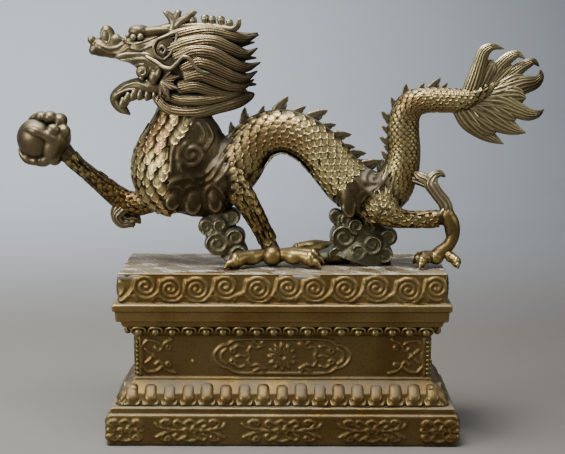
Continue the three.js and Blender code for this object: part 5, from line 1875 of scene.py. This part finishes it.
# Knuckles and the ball of the hand: place, size and lean.
HAND_LUMPS = [
    ((-149.6, 14.6, 78.5), (9.4, 11.6, 13.6), 20), ((-150.6, 6.4, 77), (6, 4.6, 10.4), 20),
    ((-146.5, 13, 92.2), (5.2, 6, 5.2), 0), ((-152.6, 10.6, 94.6), (4.8, 5.4, 4.4), 0),
    ((-158.6, 13, 95), (4.2, 5, 3.6), 0), ((-143.4, 9.4, 85), (4.6, 4.6, 5), 0),
    ((-149.8, 4.6, 86.6), (4.6, 3.6, 4.2), 0), ((-156.6, 14, 66.4), (5, 6, 4), -14),
    ((-163.4, 14, 65.8), (4.2, 5, 3.4), 0), ((-168.8, 14.4, 68.6), (3.2, 4, 3), 0),
    ((-150.4, 12, 67.4), (4.8, 5.4, 4.8), -14),
]


def finger_shells():
    to_palm = np.array([0.94, 0, -0.34])
    up = np.array([0.34, 0, 0.94])
    near = np.array([0, -1, 0])
    fingers = []
    for turn in FINGER_TURNS:
        angle = math.radians(turn)
        side = up * math.sin(angle) + near * math.cos(angle)
        rows = []
        for i, radius in enumerate((3.8, 3.2, 3.9, 2.9, 3.3, 2.1, 0.4)):
            bend = math.radians(14 + 20 * i)
            reach = PEARL_RADIUS + (1.5, 2.0, 2.5, 2.0, 1.8, 1.2, 0.4)[i]
            rows.append((*(PEARL + to_palm * reach * math.cos(bend) + side * reach * math.sin(bend)),
                         radius))
        fingers.append(sweep(rows, 16, 44, across=tuple(np.cross(to_palm, side))))
    return fingers + [lump(*place) for place in HAND_LUMPS]


hand = cast_in(face_metal, fused(piece_from("hand", finger_shells(), PLINTH_TOP), 0.7, 6))
pearl_shell = lump(PEARL, (PEARL_RADIUS,) * 3, 0, 56, 36)
pearl = cast_in(face_metal, piece_from("pearl", [pearl_shell], PLINTH_TOP))

# %% Tufts of hair
TUFTS = [
    [(-103, 17, 38, 5.2), (-108.6, 17, 32, 6.2), (-108, 17, 27.4, 5.8), (-103, 17, 25.4, 4.8),
     (-98, 17, 26.4, 3.8), (-94.8, 17, 23.6, 0.6)],
    [(-106, 14, 34, 4), (-110, 13.6, 28.6, 4), (-107, 13.6, 24.2, 3.4), (-101.6, 14, 23.4, 2.2),
     (-99, 14, 21.4, 0.5)],
    [(105.5, -16, 33, 4.4), (104, -15.8, 41, 4.4), (98.6, -14, 48, 4.2), (95, -12, 54, 4.6),
     (97.4, -11, 58.8, 3.4), (101, -10.6, 60, 2.4), (104.4, -10.5, 58, 0.6)],
    [(98, -13, 50, 4), (93, -11.4, 56, 3.8), (87, -9, 58.6, 3.2), (84, -8, 60.6, 0.6)],
    [(95, -12, 53, 3.4), (88, -8, 55.4, 3.4), (80, -4, 57, 3.4)],
]
# Fine strands combed up from the haunch over the root of the tail, drawn flat.
STRANDS = [
    [(66, 28), (68.6, 37), (70, 47), (70.4, 58)], [(68.4, 27), (71.4, 36), (73.4, 47), (74, 62)],
    [(71, 26.6), (74.6, 35), (77.4, 46), (78, 60)], [(73.8, 27), (77.8, 35), (81, 44), (82, 55)],
    [(63, 29), (65.4, 38), (66.4, 47), (65.6, 55)], [(76.6, 29), (80.4, 36), (83.6, 44)],
    [(60.6, 31), (62.4, 39), (62.6, 46), (60.4, 52)], [(57, 47), (62, 52), (66.4, 60), (68, 68)],
]


def tuft_shells():
    shells = [sweep(tuft, 44, 36, flutes=9, depth=0.2, turn=0.6) for tuft in TUFTS]
    return shells + ropes([curve(strand, 26) for strand in STRANDS], body_skin, 0.95)


tufts = cast_in(face_metal, piece_from("hair_tufts", tuft_shells(), PLINTH_TOP))

# %% [markdown]
# ## Clouds
# Rolled clouds carry the chest and the haunch. Each scroll is a thick band wound in on itself,
# swept along a spiral, on a fused mass of stems.

# %% Scrolls and stems
CHEST_SCROLLS = [
    (-42, 0, 13.6, 9.6, 20), (-49.6, 0, 25, 6.6, 17), (-40.4, 0, 25.8, 5.6, 20), (-33, 0, 31, 6.6, 16),
    (-30.6, 0, 17.6, 7.4, 19), (-29, 0, 6.6, 7.6, 19), (-43, 0, 34, 5.6, 15),
]
HAUNCH_SCROLLS = [
    (40, 0, 18.4, 9.8, 24), (34.6, 0, 31.4, 5.6, 12), (47.6, 0, 26, 6.6, 26.5), (58, 0, 14, 8.4, 26),
    (69, 0, 18, 6.8, 18), (48.6, 0, 9.4, 6.4, 28), (35, 0, 7, 6.0, 22), (66.6, 0, 7, 6.2, 22),
    (56.4, 0, 25, 5.6, 23), (41, 0, 30, 4.6, 20), (26.4, 2, 4.6, 4.4, 18),
]
CHEST_STEMS = [[(-46, 0, 36, 8, 8), (-35, 0, 20, 5.6, 7), (-30, 0, 8, 7.6, 8), (-31, 0, 1.5, 10, 9.4)]]
HAUNCH_STEMS = [
    [(52, 0, 42, 13, 11), (53, 0, 20, 14, 10.4), (52, 0, 8, 19, 12.4), (50, 0, 1.5, 23, 14)],
    [(44, 0, 6, 5.6, 8.6), (32, 0, 5, 5.6, 9.6), (22, 2, 3, 3.6, 8.6), (15, 2, 1.5, 1.4, 5.6)],
]


def cloud_scroll(x, y, z, radius, thick, start, clockwise):
    """A band wound in on itself, standing proud of a disc that closes its middle."""
    line = spiral(x, z, 0.8 * radius, 1.75, start, clockwise, eye=0.1, steps=30)
    count = len(line)
    rows = []
    for i, (px, pz) in enumerate(line):
        share = i / (count - 1)
        rows.append((px, y, pz, 0.2 * radius * (1 - 0.35 * share), 0.5 * thick * (1 - 0.12 * share)))
    band = sweep(rows, 14, 60)
    disc = sweep([(x, y - 0.4 * thick, z, 0.82 * radius), (x, y, z, 0.86 * radius),
                  (x, y + 0.4 * thick, z, 0.82 * radius)], 26, 6, across=(1, 0, 0))
    return [band, disc]


def cloud(name, stems, scrolls, metal):
    shells = [sweep(stem, 24) for stem in stems]
    for i, scroll in enumerate(scrolls):
        shells += cloud_scroll(*scroll, start=200 + 40 * (i % 3), clockwise=i % 2 == 0)
    return cast_in(metal, fused(piece_from(name, shells, PLINTH_TOP), 0.8, 2))


clouds = [
    cloud("chest_clouds", CHEST_STEMS, CHEST_SCROLLS, chest_cloud_metal),
    cloud("haunch_clouds", HAUNCH_STEMS, HAUNCH_SCROLLS, cloud_metal),
]

plinth_pieces = [base, waist, cornice, slab_top, petals, beads]
dragon_pieces = [body, ridges, tail_fan, head, mane, feet, hand, pearl, tufts, back_fins, belly_plates]
dragon_pieces += scales + head_parts + clouds

# %% [markdown]
# ## Studio
# A pale floor that rises into a grey backdrop far behind, one broad light overhead, a weaker one at
# the front left and a faint one at the right. Soft lights let the brass show its own colour. Floor and
# backdrop carry painted light: they are painted bright on the left and dark on the right.


# %% Floor, backdrop and lights
def add_floor():
    profile = [(-1600, 0), (900, 0), (1100, 30), (1230, 130), (1290, 300), (1300, 1400)]
    points, faces = [], []
    for y, z in profile:
        points += [(-3000 * MM, y * MM, z * MM), (3000 * MM, y * MM, z * MM)]
    for k in range(len(profile) - 1):
        faces.append((2 * k, 2 * k + 1, 2 * k + 3, 2 * k + 2))
    mesh = bpy.data.meshes.new("studio_floor")
    mesh.from_pydata(points, [], faces)
    mesh.shade_smooth()
    floor = bpy.data.objects.new("studio_floor", mesh)
    bpy.context.collection.objects.link(floor)
    pale = bpy.data.materials.new("studio_paper")
    pale.use_nodes = True
    tree = pale.node_tree
    shader = tree.nodes["Principled BSDF"]
    where = add_node(tree, "ShaderNodeTexCoord")
    place = add_node(tree, "ShaderNodeSeparateXYZ", [("Vector", where.outputs["Object"])])
    # Painted light: floor and backdrop go from bright on the left to dark on the right, as light from
    # the left falls off.
    painted_light_falloff = ramp(tree, place.outputs["X"], -0.5, 0.9)
    backdrop = mixed(tree, painted_light_falloff, paint("#dfe6ee"), paint("#5e6268"))
    ground = mixed(tree, painted_light_falloff, paint("#807e78"), paint("#4d463e"))
    raised = ramp(tree, place.outputs["Y"], 0.25, 1.15)
    tree.links.new(mixed(tree, raised, ground, backdrop), shader.inputs["Base Color"])
    shader.inputs["Roughness"].default_value = 0.9
    mesh.materials.append(pale)


def add_light(name, where, aim, size, watts):
    data = bpy.data.lights.new(name, "AREA")
    data.shape = "RECTANGLE"
    data.size, data.size_y = size
    data.energy = watts
    light = bpy.data.objects.new(name, data)
    light.location = where
    light.rotation_euler = (Vector(aim) - Vector(where)).to_track_quat("-Z", "Y").to_euler()
    bpy.context.collection.objects.link(light)


add_floor()
add_light("overhead", (-0.25, -0.2, 1.15), (0, 0, 0.1), (0.8, 0.5), 23)
add_light("front_left", (-0.95, -0.8, 0.55), (0, 0, 0.14), (0.5, 0.5), 9)
add_light("right", (1.1, -0.5, 0.6), (0, 0, 0.12), (0.4, 0.6), 2.5)
world = bpy.data.worlds.new("studio_air")
bpy.context.scene.world = world
world.use_nodes = True
air = world.node_tree.nodes["Background"].inputs
air["Color"].default_value = (0.80, 0.83, 0.88, 1)
air["Strength"].default_value = 0.36

# %% [markdown]
# ## Hand over to the frame
# Every piece rides on the one body and replaces the CAD node that it stands for, which is hidden.

# %% Bodies and the hidden CAD nodes
for thing in plinth_pieces:
    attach(thing, BODY)
    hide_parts("plinth")
for thing in dragon_pieces:
    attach(thing, BODY)
    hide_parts("dragon")
